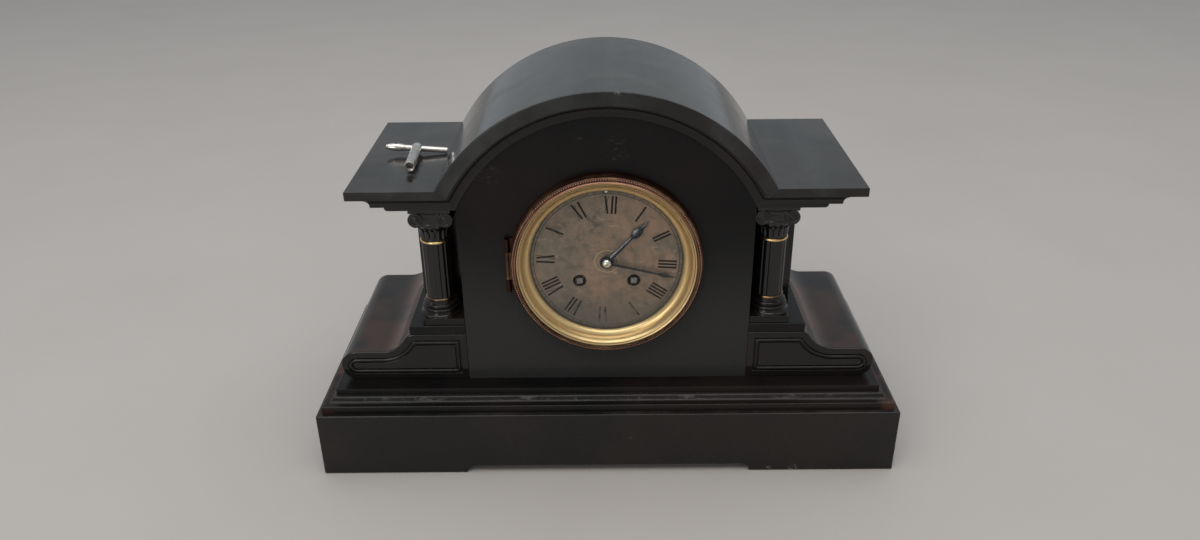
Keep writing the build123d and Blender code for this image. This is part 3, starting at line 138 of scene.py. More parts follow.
def piece(name, shape, body, finish, smooth=True):
    """Object at the origin with its place in its mesh, doubles merged and faces turned outwards."""
    points, faces = shape
    mesh = bpy.data.meshes.new(name)
    mesh.from_pydata((points * MM).tolist(), [], faces.tolist())
    work = bmesh.new()
    work.from_mesh(mesh)
    bmesh.ops.remove_doubles(work, verts=work.verts, dist=merge_distance)
    bmesh.ops.dissolve_degenerate(work, edges=work.edges, dist=sliver_distance)
    bmesh.ops.recalc_face_normals(work, faces=work.faces)
    work.to_mesh(mesh)
    work.free()
    mesh.polygons.foreach_set("use_smooth", np.full(len(mesh.polygons), smooth))
    made = bpy.data.objects.new(name, mesh)
    bpy.context.scene.collection.objects.link(made)
    mesh.materials.append(finish)
    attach(made, body)
    return made


# Finishes


class Finish:
    """A material's node tree with short ways to add its nodes."""

    def __init__(self, name):
        self.material = bpy.data.materials.new(name)
        self.material.use_nodes = True
        self.tree = self.material.node_tree
        self.shader = self.tree.nodes["Principled BSDF"]
        self.place = self.add("ShaderNodeTexCoord").outputs["Object"]
        self.rounded = None

    def add(self, kind, **inputs):
        """New node with its inputs set or joined."""
        node = self.tree.nodes.new(kind)
        for name, value in inputs.items():
            self.join(value, node.inputs[name.replace("_", " ")])
        return node

    def join(self, value, socket):
        """Value set on a socket, or an output joined to it."""
        if isinstance(value, bpy.types.NodeSocket):
            self.tree.links.new(value, socket)
        else:
            socket.default_value = value

    def noise(self, scale, detail=4.0, roughness=0.55, stretch=None, distortion=0.0):
        """Noise at so many waves a metre, stretched along the axes if asked."""
        place = self.place
        if stretch:
            place = self.add("ShaderNodeMapping", Vector=place, Scale=stretch).outputs["Vector"]
        node = self.add("ShaderNodeTexNoise", Vector=place, Scale=scale, Detail=detail,
                        Roughness=roughness, Distortion=distortion)
        return node.outputs["Fac"]

    def sum(self, kind, a, b=0.0, c=None):
        """Arithmetic on one, two or three values."""
        node = self.tree.nodes.new("ShaderNodeMath")
        node.operation = kind
        for value, socket in zip((a, b, c), node.inputs):
            if value is not None:
                self.join(value, socket)
        return node.outputs["Value"]

    def between(self, value, low, high, start=0.0, end=1.0):
        """Value carried from low..high to start..end with soft ends."""
        node = self.tree.nodes.new("ShaderNodeMapRange")
        node.interpolation_type = "SMOOTHSTEP"
        names = ("Value", "From Min", "From Max", "To Min", "To Max")
        for name, given in zip(names, (value, low, high, start, end)):
            self.join(given, node.inputs[name])
        return node.outputs["Result"]

    def mix(self, share, a, b):
        """Colour a turned into colour b by a share."""
        node = self.tree.nodes.new("ShaderNodeMix")
        node.data_type = "RGBA"
        for value, socket in zip((share, a, b), (node.inputs[0], node.inputs[6], node.inputs[7])):
            self.join((*value, 1.0) if isinstance(value, tuple) else value, socket)
        return node.outputs[2]

    def axes(self):
        """Distances along X, Y and Z, in metres."""
        node = self.add("ShaderNodeSeparateXYZ", Vector=self.place)
        return [node.outputs[axis] for axis in "XYZ"]

    def radius(self, x, z):
        """Distance from a line that runs front to back, in metres."""
        at_x, _, at_z = self.axes()
        across = self.sum("SUBTRACT", at_x, x * MM)
        up = self.sum("SUBTRACT", at_z, z * MM)
        squares = self.sum("MULTIPLY_ADD", across, across, self.sum("MULTIPLY", up, up))
        return self.sum("SQRT", squares)

    def edges(self, width):
        """Share of an edge, for worn grey that is partly a painted highlight: how far a rounded normal
        leans from the true one. The rounded normal is kept, so that the bump eases the edge as well."""
        normal = self.add("ShaderNodeNewGeometry").outputs["Normal"]
        bevel = self.add("ShaderNodeBevel", Radius=width * MM)
        bevel.samples = 6
        self.rounded = bevel.outputs["Normal"]
        node = self.tree.nodes.new("ShaderNodeVectorMath")
        node.operation = "DOT_PRODUCT"
        self.join(self.rounded, node.inputs[0])
        self.join(normal, node.inputs[1])
        return self.between(node.outputs["Value"], 0.985, 0.80)

    def facing_up(self):
        """Share of a face that lies level and looks up."""
        normal = self.add("ShaderNodeNewGeometry").outputs["Normal"]
        return self.between(self.add("ShaderNodeSeparateXYZ", Vector=normal).outputs["Z"], 0.55, 0.95)

    def spot(self, x, y, z, reach):
        """Share that falls off round one place."""
        node = self.tree.nodes.new("ShaderNodeVectorMath")
        node.operation = "DISTANCE"
        self.join(self.place, node.inputs[0])
        self.join((x * MM, y * MM, z * MM), node.inputs[1])
        return self.between(node.outputs["Value"], reach * MM, 0.4 * reach * MM)

    def bump(self, height, strength, distance):
        """Small relief, over rounded edges where there are any."""
        node = self.add("ShaderNodeBump", Height=height, Strength=strength, Distance=distance * MM)
        if self.rounded:
            self.join(self.rounded, node.inputs["Normal"])
        self.join(node.outputs["Normal"], self.shader.inputs["Normal"])

    def ramp(self, value, stops):
        """Colours along a value, from rows of a place in millimetres and a colour."""
        low, high = stops[0][0], stops[-1][0]
        span = (high - low) * MM
        along = self.sum("MULTIPLY_ADD", value, 1 / span, -low * MM / span)
        node = self.add("ShaderNodeValToRGB", Fac=along)
        elements = node.color_ramp.elements
        elements.remove(elements[-1])
        for i, (at, colour) in enumerate(stops):
            element = elements[0] if i == 0 else elements.new((at - low) / (high - low))
            element.position = (at - low) / (high - low)
            element.color = (*colour, 1.0)
        return node.outputs["Color"]

    def give(self, **inputs):
        """Values and links for the shader's own sockets."""
        for name, value in inputs.items():
            self.join(value, self.shader.inputs[name.replace("_", " ")])


# Colours of the slate and of what lies on it
slate_black = (0.0058, 0.0058, 0.0060)
slate_faded = (0.0115, 0.0082, 0.0074)
slate_brown = (0.082, 0.034, 0.023)
paler_grey = (0.025, 0.025, 0.025)
reflection_streak_grey = (0.060, 0.066, 0.069)
worn_edge_highlight_grey = (0.060, 0.054, 0.050)
dust_grey = (0.15, 0.145, 0.135)
chip_grey = (0.13, 0.125, 0.115)
scuff_grey = (0.050, 0.047, 0.044)


def slate(name, gloss, polish, tone=slate_black, faded=slate_faded, brown=None, paler_mask=None, chips=(),
          scuffs=(), reflection_streaks=0.0, dusty=0.14, smeared=0.14, scratched=0.08, edge_wear_and_highlight=0.45, ease=0.7):
    """Polished black slate: near-black with cloudy brown-black patches, worn grey edges that are partly a
    painted highlight, dust on level faces, fine scratches and handling smudges. Gloss is the least
    roughness and polish the share of light that is mirrored. Brown is a mask for faded places, paler_mask
    one for a paler grey, chips are places where the stone shows grey, scuffs are places with short
    scratches, and reflection_streaks is the share of painted reflections, lighter grey bands that run from
    front to back.
    Dusty, smeared, scratched and edge_wear_and_highlight are the shares of dust, of smudges, of scratches
    and of worn edges with their painted highlight, and ease is the radius of an edge."""
    f = Finish(name)
    colour = f.mix(f.between(f.noise(9.0, 5.0), 0.40, 0.66), tone, faded)
    if brown:
        share = f.sum("MULTIPLY", brown(f), f.between(f.noise(26.0, 5.0), 0.34, 0.60))
        colour = f.mix(share, colour, slate_brown)
    if paler_mask:
        colour = f.mix(paler_mask(f), colour, paler_grey)
    if reflection_streaks:
        # Painted reflection: lighter grey bands that run from front to back, on the roof.
        run = f.between(f.noise(16.0, 5.0, 0.6, stretch=(1.0, 0.07, 1.0)), 0.42, 0.70)
        colour = f.mix(f.sum("MULTIPLY", run, reflection_streaks), colour, reflection_streak_grey)
    # Worn grey on the edges: partly real wear, partly a painted highlight along the eased edges.
    worn = f.sum("MULTIPLY", f.edges(ease), f.between(f.noise(60.0, 5.0, 0.7), 0.40, 0.66))
    colour = f.mix(f.sum("MULTIPLY", worn, edge_wear_and_highlight), colour, worn_edge_highlight_grey)
    drifts = f.between(f.noise(18.0, 8.0, 0.7, distortion=0.6), 0.35, 0.75)
    dust = f.sum("MULTIPLY", f.facing_up(), drifts)
    colour = f.mix(f.sum("MULTIPLY", dust, dusty), colour, dust_grey)
    for x, y, z, reach in chips:
        crumbs = f.between(f.noise(520.0, 3.0), 0.46, 0.56)
        share = f.sum("MULTIPLY", f.spot(x, y, z, reach), crumbs)
        colour = f.mix(f.sum("MULTIPLY", share, 0.8), colour, chip_grey)
    for x, y, z, reach in scuffs:
        lines = f.between(f.noise(620.0, 4.0, 0.6, stretch=(0.5, 1.0, 1.0), distortion=0.8), 0.56, 0.64)
        share = f.sum("MULTIPLY", f.spot(x, y, z, reach), lines)
        colour = f.mix(f.sum("MULTIPLY", share, 0.6), colour, scuff_grey)
    scratch = f.between(f.noise(55.0, 3.0, 0.5, stretch=(1.0, 9.0, 9.0), distortion=1.2), 0.60, 0.68)
    smudge = f.between(f.noise(34.0, 7.0, 0.7), 0.35, 0.75)
    rough = f.sum("MULTIPLY_ADD", smudge, smeared, gloss)
    rough = f.sum("MULTIPLY_ADD", scratch, scratched, rough)
    rough = f.sum("MULTIPLY_ADD", worn, 0.45 * edge_wear_and_highlight, rough)
    rough = f.sum("MULTIPLY_ADD", dust, 0.57 * dusty, rough)
    f.give(Base_Color=colour, Roughness=rough, IOR=1.52, Specular_IOR_Level=polish)
    relief = f.sum("MULTIPLY_ADD", f.noise(140.0, 6.0, 0.65), 0.35, f.noise(22.0, 3.0))
    f.bump(relief, 0.04, 0.5)
    return f.material


# Colours of the bezel by the distance from the dial's middle, in millimetres
# The lighter gold in the middles of the two gold bands, at 56.4 and 62.4 mm, is a painted highlight, and
# the copper-pink lip at 65.7 to 66.3 mm is partly a painted highlight.
bezel_bands = [
    (55.0, (0.92, 0.66, 0.33)), (56.4, (0.98, 0.74, 0.40)), (58.3, (0.92, 0.66, 0.33)),
    (59.0, (0.62, 0.39, 0.17)), (60.6, (0.64, 0.41, 0.18)), (61.2, (0.92, 0.66, 0.33)),
    (62.4, (0.98, 0.74, 0.40)), (63.2, (0.80, 0.55, 0.26)), (63.4, (0.16, 0.085, 0.042)),
    (63.7, (0.16, 0.085, 0.042)), (63.9, (0.84, 0.60, 0.30)), (64.5, (0.76, 0.52, 0.25)),
    (64.8, (0.06, 0.030, 0.020)), (65.5, (0.05, 0.026, 0.018)), (65.7, (0.30, 0.150, 0.110)),
    (66.3, (0.26, 0.125, 0.092)), (66.7, (0.062, 0.026, 0.020)), (70.0, (0.050, 0.021, 0.016)),
]


def brass(name, bright, dull, gloss, bands=None, low=None):
    """Lacquered brass with brown patina in patches. Bands are colours by the distance from the dial's
    middle, with fine turned lines. Low is a duller colour for what stands near the foot."""
    f = Finish(name)
    patina = f.between(f.noise(45.0, 6.0, 0.65), 0.40, 0.72)
    if low:
        bright = f.mix(f.between(f.axes()[2], 150 * MM, 145 * MM), bright, low)
    grain = f.noise(300.0, 4.0)
    if bands:
        out = f.radius(0.0, dial_z)
        bright = f.ramp(out, bands)
        patina = f.sum("MULTIPLY", patina, 0.35)
        turned = f.add("ShaderNodeTexNoise", Scale=2600.0)
        turned.noise_dimensions = "1D"
        f.join(out, turned.inputs["W"])
        grain = f.sum("MULTIPLY_ADD", turned.outputs["Fac"], 0.8, f.sum("MULTIPLY", grain, 0.2))
    colour = f.mix(patina, bright, dull)
    specks = f.between(f.noise(420.0, 3.0), 0.66, 0.74)
    colour = f.mix(f.sum("MULTIPLY", specks, 0.6), colour, tuple(0.35 * c for c in dull))
    rough = f.sum("MULTIPLY_ADD", patina, 0.16, gloss)
    f.give(Base_Color=colour, Metallic=0.85 if bands else 1.0, Roughness=rough)
    f.bump(grain, 0.06, 0.08)
    return f.material


def steel(name, bright, dark, gloss):
    """Polished steel with faint draw marks and dark spots."""
    f = Finish(name)
    spots = f.between(f.noise(170.0, 6.0, 0.7), 0.50, 0.72)
    colour = f.mix(spots, bright, dark)
    rough = f.sum("MULTIPLY_ADD", f.noise(260.0, 4.0, stretch=(0.2, 1.0, 1.0)), 0.22, gloss)
    f.give(Base_Color=colour, Metallic=1.0, Roughness=rough)
    f.bump(f.noise(700.0, 3.0), 0.05, 0.05)
    return f.material


# Stains of the dial: place across and up from its middle and reach, in millimetres
dial_stains = ((-7.0, 27.0, 8.0), (-11.0, 34.0, 6.0), (-34.0, 26.0, 9.0), (30.0, -6.0, 6.0))


def silvered(name):
    """Silvered dial gone brown and grey: warm clouds, dark blotches, upright brushing, a few stains, a
    darker foot, painted shade of greenish grey near the edge where the bezel shades it, and small bright
    specks."""
    f = Finish(name)
    out = f.radius(0.0, dial_z)
    clouds = f.between(f.noise(24.0, 3.0), 0.38, 0.62)
    colour = f.mix(clouds, (0.232, 0.175, 0.137), (0.345, 0.216, 0.152))
    blotches = f.between(f.noise(90.0, 7.0, 0.68, distortion=0.5), 0.44, 0.66)
    colour = f.mix(f.sum("MULTIPLY", blotches, 0.70), colour, (0.118, 0.100, 0.079))
    brushing = f.between(f.noise(170.0, 5.0, 0.6, stretch=(1.0, 1.0, 0.12)), 0.40, 0.66)
    colour = f.mix(f.sum("MULTIPLY", brushing, 0.35), colour, (0.150, 0.126, 0.100))
    rubbed = f.noise(150.0, 7.0, 0.72, stretch=(0.45, 1.0, 1.0), distortion=1.0)
    light = f.between(rubbed, 0.56, 0.68)
    colour = f.mix(f.sum("MULTIPLY", light, 0.45), colour, (0.50, 0.41, 0.34))
    for x, z, reach in dial_stains:
        ragged = f.between(f.noise(210.0, 6.0, 0.7), 0.40, 0.60)
        share = f.sum("MULTIPLY", f.spot(x, dial_front, dial_z + z, reach), ragged)
        colour = f.mix(f.sum("MULTIPLY", share, 0.65), colour, (0.062, 0.059, 0.048))
    foot = f.between(f.axes()[2], (dial_z - 12) * MM, (dial_z - 46) * MM, 0.0, 0.66)
    colour = f.mix(foot, colour, (0.104, 0.098, 0.082))
    # Painted shade: greenish grey towards the dial's edge, where the bezel shades it.
    waver = f.sum("SUBTRACT", f.noise(60.0, 6.0, 0.65), 0.5)
    rim = f.sum("ADD", out, f.sum("MULTIPLY", waver, 24 * MM))
    colour = f.mix(f.between(rim, 48 * MM, 60 * MM, 0.0, 0.75), colour, (0.096, 0.096, 0.078))
    specks = f.between(f.noise(900.0, 2.0), 0.70, 0.77)
    colour = f.mix(f.sum("MULTIPLY", specks, 0.4), colour, (0.70, 0.65, 0.58))
    rough = f.sum("MULTIPLY_ADD", blotches, 0.14, 0.38)
    f.give(Base_Color=colour, Metallic=0.30, Roughness=rough)
    f.bump(f.noise(260.0, 5.0, stretch=(1.0, 1.0, 0.15)), 0.10, 0.10)
    return f.material


def ink(name):
    """Black wax of the numerals, worn through in specks and nearly gone at the foot of the dial."""
    f = Finish(name)
    x, _, z = f.axes()
    low = f.between(z, (dial_z - 28) * MM, (dial_z - 40) * MM, 0.0, 0.85)
    low = f.sum("MULTIPLY", low, f.between(x, -26 * MM, -10 * MM, 0.35, 1.0))
    worn = f.between(f.noise(330.0, 4.0), 0.60, 0.72)
    gone = f.sum("MULTIPLY", low, f.between(f.noise(240.0, 4.0), 0.30, 0.56))
    share = f.sum("MAXIMUM", f.sum("MULTIPLY", worn, 0.6), gone)
    colour = f.mix(share, (0.006, 0.006, 0.006), (0.120, 0.102, 0.082))
    rough = f.between(worn, 0.0, 1.0, 0.62, 0.45)
    f.give(Base_Color=colour, Roughness=rough, Specular_IOR_Level=0.15)
    f.bump(f.noise(600.0, 3.0), 0.1, 0.05)
    return f.material


def window(name):
    """Thin clear pane: see-through, with a mirror share that grows at a slant."""
    f = Finish(name)
    clear = f.add("ShaderNodeBsdfTransparent", Color=(0.97, 0.98, 0.97, 1.0))
    smears = f.between(f.noise(40.0, 4.0), 0.4, 0.8, 0.02, 0.07)
    mirror = f.add("ShaderNodeBsdfGlossy", Roughness=smears)
    share = f.add("ShaderNodeLayerWeight", Blend=0.08)
    both = f.add("ShaderNodeMixShader", Fac=share.outputs["Facing"])
    f.join(clear.outputs["BSDF"], both.inputs[1])
    f.join(mirror.outputs["BSDF"], both.inputs[2])
    output = f.tree.nodes["Material Output"]
    f.join(both.outputs["Shader"], output.inputs["Surface"])
    f.tree.nodes.remove(f.shader)
    return f.material


def floor_finish(name):
    """Pale grey table top with faint cloudiness."""
    f = Finish(name)
    colour = f.mix(f.noise(5.0, 6.0), (0.405, 0.386, 0.374), (0.450, 0.430, 0.418))
    f.give(Base_Color=colour, Roughness=f.between(f.noise(12.0, 5.0), 0.3, 0.7, 0.62, 0.74))
    f.bump(f.noise(350.0, 3.0), 0.03, 0.2)
    return f.material


def side_band(f):
    """Sides of the moulded slab, where the black has faded."""
    x = f.sum("ABSOLUTE", f.axes()[0])
    return f.between(x, 203.5 * MM, 207.5 * MM)


def scroll_band(f):
    """Hollow of the consoles, where the black has faded."""
    _, y, z = f.axes()
    over = f.between(z, 90 * MM, 95 * MM)
    under = f.between(z, 107.1 * MM, 105.5 * MM)
    behind = f.between(y, -58.5 * MM, -57 * MM)
    return f.sum("MULTIPLY", f.sum("MULTIPLY", over, under), behind)


def paler_foot(f):
    """Foot of the front panel, turning paler grey towards the bottom."""
    return f.between(f.axes()[2], 205 * MM, 110 * MM)


plain_slate = slate("polished_slate", 0.14, 0.40)
shaft_slate = slate(
    "shaft_slate", 0.04, 0.50, (0.0036, 0.0036, 0.0038), (0.0060, 0.0050, 0.0046), smeared=0.05)
moulding_slate = slate(
    "moulding_slate", 0.25, 0.24, (0.0042, 0.0040, 0.0040), brown=side_band, dusty=0.008, smeared=0.04,
    scratched=0.01, edge_wear_and_highlight=0.04, ease=0.3)
console_slate = slate("console_slate", 0.10, 0.36, brown=scroll_band, dusty=0.02, smeared=0.08)
foot_slate = slate(
    "foot_slate", 0.22, 0.36,
    chips=[(124.0, plinth_face, 1.0, 3.5), (143.0, plinth_face, 2.0, 4.5)],
    scuffs=[(-160.0, plinth_face, 46.0, 3.0), (18.0, plinth_face, 32.0, 3.0)])
panel_slate = slate(
    "panel_slate", 0.24, 0.16, faded=(0.0095, 0.0066, 0.0064), paler_mask=paler_foot,
    scuffs=[(8.0, panel_front, 254.0, 12.0), (-84.0, panel_front, 236.0, 13.0),
            (-20.0, panel_front, 262.0, 5.0)])
roof_slate = slate("roof_slate", 0.08, 0.43, chips=[(7.5, -67.3, 295.0, 3.0)], reflection_streaks=0.35)
band_slate = slate("band_slate", 0.14, 0.34, edge_wear_and_highlight=0.60)
pedestal_slate = slate("pedestal_slate", 0.20, 0.20, dusty=0.03)
carved_slate = slate(
    "carved_slate", 0.08, 0.55, (0.0044, 0.0043, 0.0043), (0.0080, 0.0066, 0.0060))
base_slate = slate(
    "base_slate", 0.05, 0.32, (0.0060, 0.0048, 0.0040), (0.0110, 0.0075, 0.0056), dusty=0.04)
gilt = brass("gilt_bezel", (0.78, 0.53, 0.22), (0.60, 0.39, 0.17), 0.34, bezel_bands)
copper = brass("coppered_rim", (0.050, 0.023, 0.016), (0.030, 0.014, 0.011), 0.32)
bead_copper = brass("coppered_beads", (0.50, 0.30, 0.22), (0.34, 0.18, 0.125), 0.10)
ring_gilt = brass("gilt_rings", (0.90, 0.68, 0.33), (0.62, 0.40, 0.16), 0.16, low=(0.13, 0.086, 0.062))
movement_brass = brass("movement_brass", (0.66, 0.50, 0.24), (0.44, 0.31, 0.13), 0.26)
bell_metal = brass("bell_metal", (0.62, 0.52, 0.33), (0.40, 0.30, 0.16), 0.18)
bright_steel = steel("bright_steel", (0.63, 0.61, 0.585), (0.38, 0.345, 0.31), 0.16)
dull_steel = steel("dull_steel", (0.28, 0.262, 0.245), (0.15, 0.135, 0.12), 0.24)
nut_steel = steel("nut_steel", (0.93, 0.92, 0.90), (0.80, 0.79, 0.76), 0.14)
blued_steel = steel("blued_steel", (0.048, 0.053, 0.063), (0.030, 0.032, 0.037), 0.12)
dial_silver = silvered("silvered_dial")
dial_ink = ink("dial_ink")
clear_glass = window("clear_pane")

by_slot = {
    "black_slate": plain_slate, "gilt_brass": movement_brass, "plain_brass": movement_brass,
    "steel": bright_steel, "blued_steel": blued_steel, "bell_metal": bell_metal,
    "silvered_dial": dial_silver, "clear_glass": clear_glass,
}
own_finish = {
    "plinth_moulding": moulding_slate, "console_left": console_slate, "console_right": console_slate,
    "arch_moulding": band_slate,
    "pedestal_slab_left": pedestal_slate, "pedestal_slab_right": pedestal_slate,
    "plinth_front": foot_slate, "plinth_back": foot_slate, "front_panel": panel_slate,
    "arch_roof": roof_slate, "shoulder_slab_left": roof_slate, "shoulder_slab_right": roof_slate,
    "column_capital_left": carved_slate, "column_capital_right": carved_slate,
    "column_base_left": base_slate, "column_base_right": base_slate,
    "column_shaft_left": shaft_slate, "column_shaft_right": shaft_slate,
    "bezel_ring": gilt, "bezel_pan": copper, "hinge_pins": copper, "column_rings": ring_gilt,
    "hand_nut": nut_steel, "going_winding_arbor": dull_steel, "strike_winding_arbor": dull_steel,
}
slot_of = {row["node"]: row["material_slot"] for row in frame["record"]["subparts"]}
for name, solid in solids.items():
    for holder in solid.material_slots:
        holder.material = own_finish.get(name, by_slot[slot_of[name]])


# Dial: numerals, minute track, eyelets and centre line, in millimetres
dial_turn = 3.5
ink_depth = 0.02
numeral_inner = 37.6
numeral_outer = 51.0
numeral_rise = 0.05
bar = 1.45
hairline = 0.32
numeral_room = {"I": 2.55, "V": 5.4, "X": 5.6}
slant_half = 1.15
v_foot = 0.4
v_spread = 0.3
track_inner = 53.0
track_outer = 55.0
track_line = 0.36
track_rise = 0.03
tick_line = 0.30
eyelet_radius = 5.3
eyelet_wire = 0.45
centre_radius = 8.7
centre_line = 0.35
centre_rise = 0.06


def numeral_strokes():
    """Strokes of the twelve numerals as rows of: hour, foot and head offset along the hour's tangent, and
    width. An I is one upright bar. A V or X has a broad stroke that leans and a hairline the other way."""
    texts = ("I", "II", "III", "IIII", "V", "VI", "VII", "VIII", "IX", "X", "XI", "XII")
    rows = []
    for hour, text in enumerate(texts, 1):
        start = -sum(numeral_room[letter] for letter in text) / 2
        for letter in text:
            middle = start + numeral_room[letter] / 2
            start += numeral_room[letter]
            if letter == "I":
                rows.append((hour, middle, middle, bar))
            if letter == "X":
                rows.append((hour, middle + slant_half, middle - slant_half, bar))
                rows.append((hour, middle - slant_half, middle + slant_half, hairline))
            if letter == "V":
                rows.append((hour, middle + v_foot, middle - slant_half - v_spread, bar))
                rows.append((hour, middle + v_foot, middle + slant_half + v_spread, hairline))
    return np.array(rows)


def dial_prisms(angle, tangent, radius, rise):
    """Thin prisms on the dial: four corners a little inside it and four in front of it. A corner at
    tangent offset t and radius r of an angle a lies at r sin a + t cos a across and
    r cos a - t sin a up."""
    x = radius * np.sin(angle) + tangent * np.cos(angle)
    z = dial_z + radius * np.cos(angle) - tangent * np.sin(angle)
    levels = [np.stack([x, np.full_like(x, dial_front - level), z], -1) for level in (-ink_depth, rise)]
    prism = np.array([(0, 1, 2, 3), (4, 7, 6, 5), (0, 4, 5, 1), (1, 5, 6, 2), (2, 6, 7, 3), (3, 7, 4, 0)])
    faces = prism[None] + (np.arange(len(x)) * 8)[:, None, None]
    return np.concatenate(levels, 1).reshape(-1, 3), faces.reshape(-1, 4)


def numerals():
    """One prism for each stroke, from its foot at the inner radius to its head at the outer one."""
    hour, foot, head, width = numeral_strokes().T
    angle = np.radians(30 * hour + dial_turn)[:, None]
    tangent = np.stack([foot - width / 2, foot + width / 2, head + width / 2, head - width / 2], 1)
    radius = np.array([numeral_inner, numeral_inner, numeral_outer, numeral_outer])[None]
    return dial_prisms(angle, tangent, radius, numeral_rise)


def minute_ticks():
    """Sixty short lines between the two rings of the minute track, as prisms on their radii."""
    angle = np.radians(6.0 * np.arange(60) + dial_turn)[:, None]
    tangent = np.array([-tick_line, tick_line, tick_line, -tick_line])[None] / 2
    radius = np.array([track_inner, track_inner, track_outer, track_outer])[None]
    return dial_prisms(angle, tangent, radius, track_rise)


def flat_ring(radius, width, rise):
    """Thin flat ring round the dial's middle that stands a little in front of the dial."""
    inner, outer = radius - width / 2, radius + width / 2
    front, back = dial_front - rise, dial_front + ink_depth
    return turned_ring([(inner, back), (inner, front), (outer, front), (outer, back)], 160)


def eyelet(x, z):
    """Raised ring of round section let into the dial: a circle carried round the hole's middle."""
    angle = np.linspace(0, 2 * math.pi, 14, endpoint=False)
    radius = eyelet_radius + eyelet_wire * np.cos(angle)
    y = dial_front - 0.2 * eyelet_wire + eyelet_wire * np.sin(angle)
    return turned_ring(np.stack([radius, y], 1), 72, x, z)


piece("dial_numerals", numerals(), "case", dial_ink, smooth=False)
track_rings = [flat_ring(radius, track_line, track_rise) for radius in (track_inner, track_outer)]
track = joined([*track_rings, minute_ticks()])
piece("dial_minute_track", track, "case", dial_ink, smooth=False)
eyelets = joined([eyelet(side * winding_x, winding_z) for side in (-1, 1)])
piece("winding_hole_eyelets", eyelets, "case", dial_silver)
line = flat_ring(centre_radius, centre_line, centre_rise)
piece("dial_centre_line", line, "case", ring_gilt, smooth=False)


# Hands with ridged faces, in millimetres
blade_start = 2.4
waist_share = 0.6
neck_share = 1.1
tip_half = 0.12
edge_share = 0.4
ridge_share = 0.35
ridge_limit = 1.1
ridge_power = 1.15


def hand_shape(hand):
    """Hand loft: at each distance t from the middle the section is a half-width w(t) across, with a ridge
    in front that falls nearly evenly to both edges, and flat behind. w tapers along the stem, swells as a
    sine over the leaf and runs out to a point. The boss is a turned ring with an eased edge."""
    start, middle, end = hand["leaf"]
    stem, length, back = hand["stem"], hand["length"], hand["back"]
    waist = waist_share * stem
    t = np.concatenate([
        np.linspace(blade_start, start, 18), np.linspace(start, end, 34)[1:],
        np.linspace(end, length, 12)[1:]])
    straight = np.interp(t, [0, start, end, length], [stem, waist, neck_share * waist, tip_half])
    s = np.clip((t - start) / (end - start), 0, 1)
    skew = math.log(0.5) / math.log((middle - start) / (end - start))
    w = straight + (hand["width"] - waist) * np.sin(math.pi * s**skew)
    across = np.linspace(-1, 1, 15)
    crown = np.minimum(ridge_share * w, ridge_limit)[:, None] * (1 - np.abs(across) ** ridge_power)
    front = back - edge_share * hand["gauge"]
    upright = t[:, None] + 0 * across
    face = np.stack([w[:, None] * across, front - crown, upright], -1)
    rear = np.stack([w[:, None] * across[::-1], np.full_like(crown, back), upright], -1)
    loft = capped(np.concatenate([face, rear], 1))
    turn = math.radians(hand["angle"])
    cos, sin = math.cos(turn), math.sin(turn)
    x, y, z = loft.reshape(-1, 3).T
    points = np.stack([x * cos + z * sin, y, dial_z + z * cos - x * sin], 1)
    blade = points, quads(len(loft), loft.shape[1], False, True)
    rim, bore, high = hand["boss"], hand["bore"], back - hand["gauge"]
    eased = [(rim, high + 0.25), (rim - 0.1, high + 0.08), (rim - 0.3, high)]
    boss = turned_ring([(bore, back), (rim, back), *eased, (bore, high)], 96)
    return joined([blade, boss])


hands = (("hour_hand", hour_hand, "hour_pipe"), ("minute_hand", minute_hand, "centre_arbor"))
for name, hand, body in hands:
    made = piece(name + "_form", hand_shape(hand), body, blued_steel)
    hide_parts(name)


# Beads of the bezel's rim, in millimetres
bead_count = 240
bead_radius = 0.60
bead_circle = 67.6


def beads():
    """Ring of small balls half sunk in the rim: a grid of turn a and height b, with the offset from each
    middle the bead's radius times cos b cos a, sin b towards the front and cos b sin a."""
    a = np.linspace(0, 2 * math.pi, 8, endpoint=False)[None]
    b = np.radians([-90.0, -15.0, 20.0, 55.0, 90.0])[:, None]
    ball = np.stack([np.cos(b) * np.cos(a), -np.sin(b) + 0 * a, np.cos(b) * np.sin(a)], -1) * bead_radius
    turn = np.linspace(0, 2 * math.pi, bead_count, endpoint=False)
    x, z = bead_circle * np.cos(turn), dial_z + bead_circle * np.sin(turn)
    middles = np.stack([x, np.full(bead_count, rim_front), z], 1)
    return copies(ball.reshape(-1, 3), quads(5, 8, False, True), middles)


piece("bezel_beads", beads(), "bezel", bead_copper)


# Carving of the capitals, in millimetres
spiral_turns = 1.8
spiral_start = 100
spiral_radii = (4.9, 1.2)
spiral_wire = (0.72, 0.46)
leaf_count = 14
leaf_lean = 0.21
leaf_out = 9.7
leaf_rib = 1.1
leaf_curl = 1.5
leaf_gauge = 1.3
leaf_lift = 0.3
leaf_height = 8.6
leaf_droop = 0.5
egg_count = 16
egg_half = 1.55
egg_tall = 2.1
egg_circle = 12.7
egg_lift = 3.2
ridge_reach = 7.4
ridge_wire = 0.6
ridge_set_back = 0.8
ridge_levels = ((204.9, 0.9), (201.6, 1.3))


def spiral(x, y, turn):
    """Raised scroll on the end of a volute: a round wire on a spiral whose radius falls evenly with the
    angle, from the roll's edge to its eye, thinner towards the eye."""
    angle = math.radians(spiral_start) + np.linspace(0, spiral_turns * 2 * math.pi, 90)
    radius = np.linspace(*spiral_radii, 90)
    out, up = turn * radius * np.cos(angle), radius * np.sin(angle)
    path = np.stack([x + out, np.full(90, y), volute_z + up], 1)
    return round_wire(path, np.linspace(*spiral_wire, 90), (0, 1, 0))


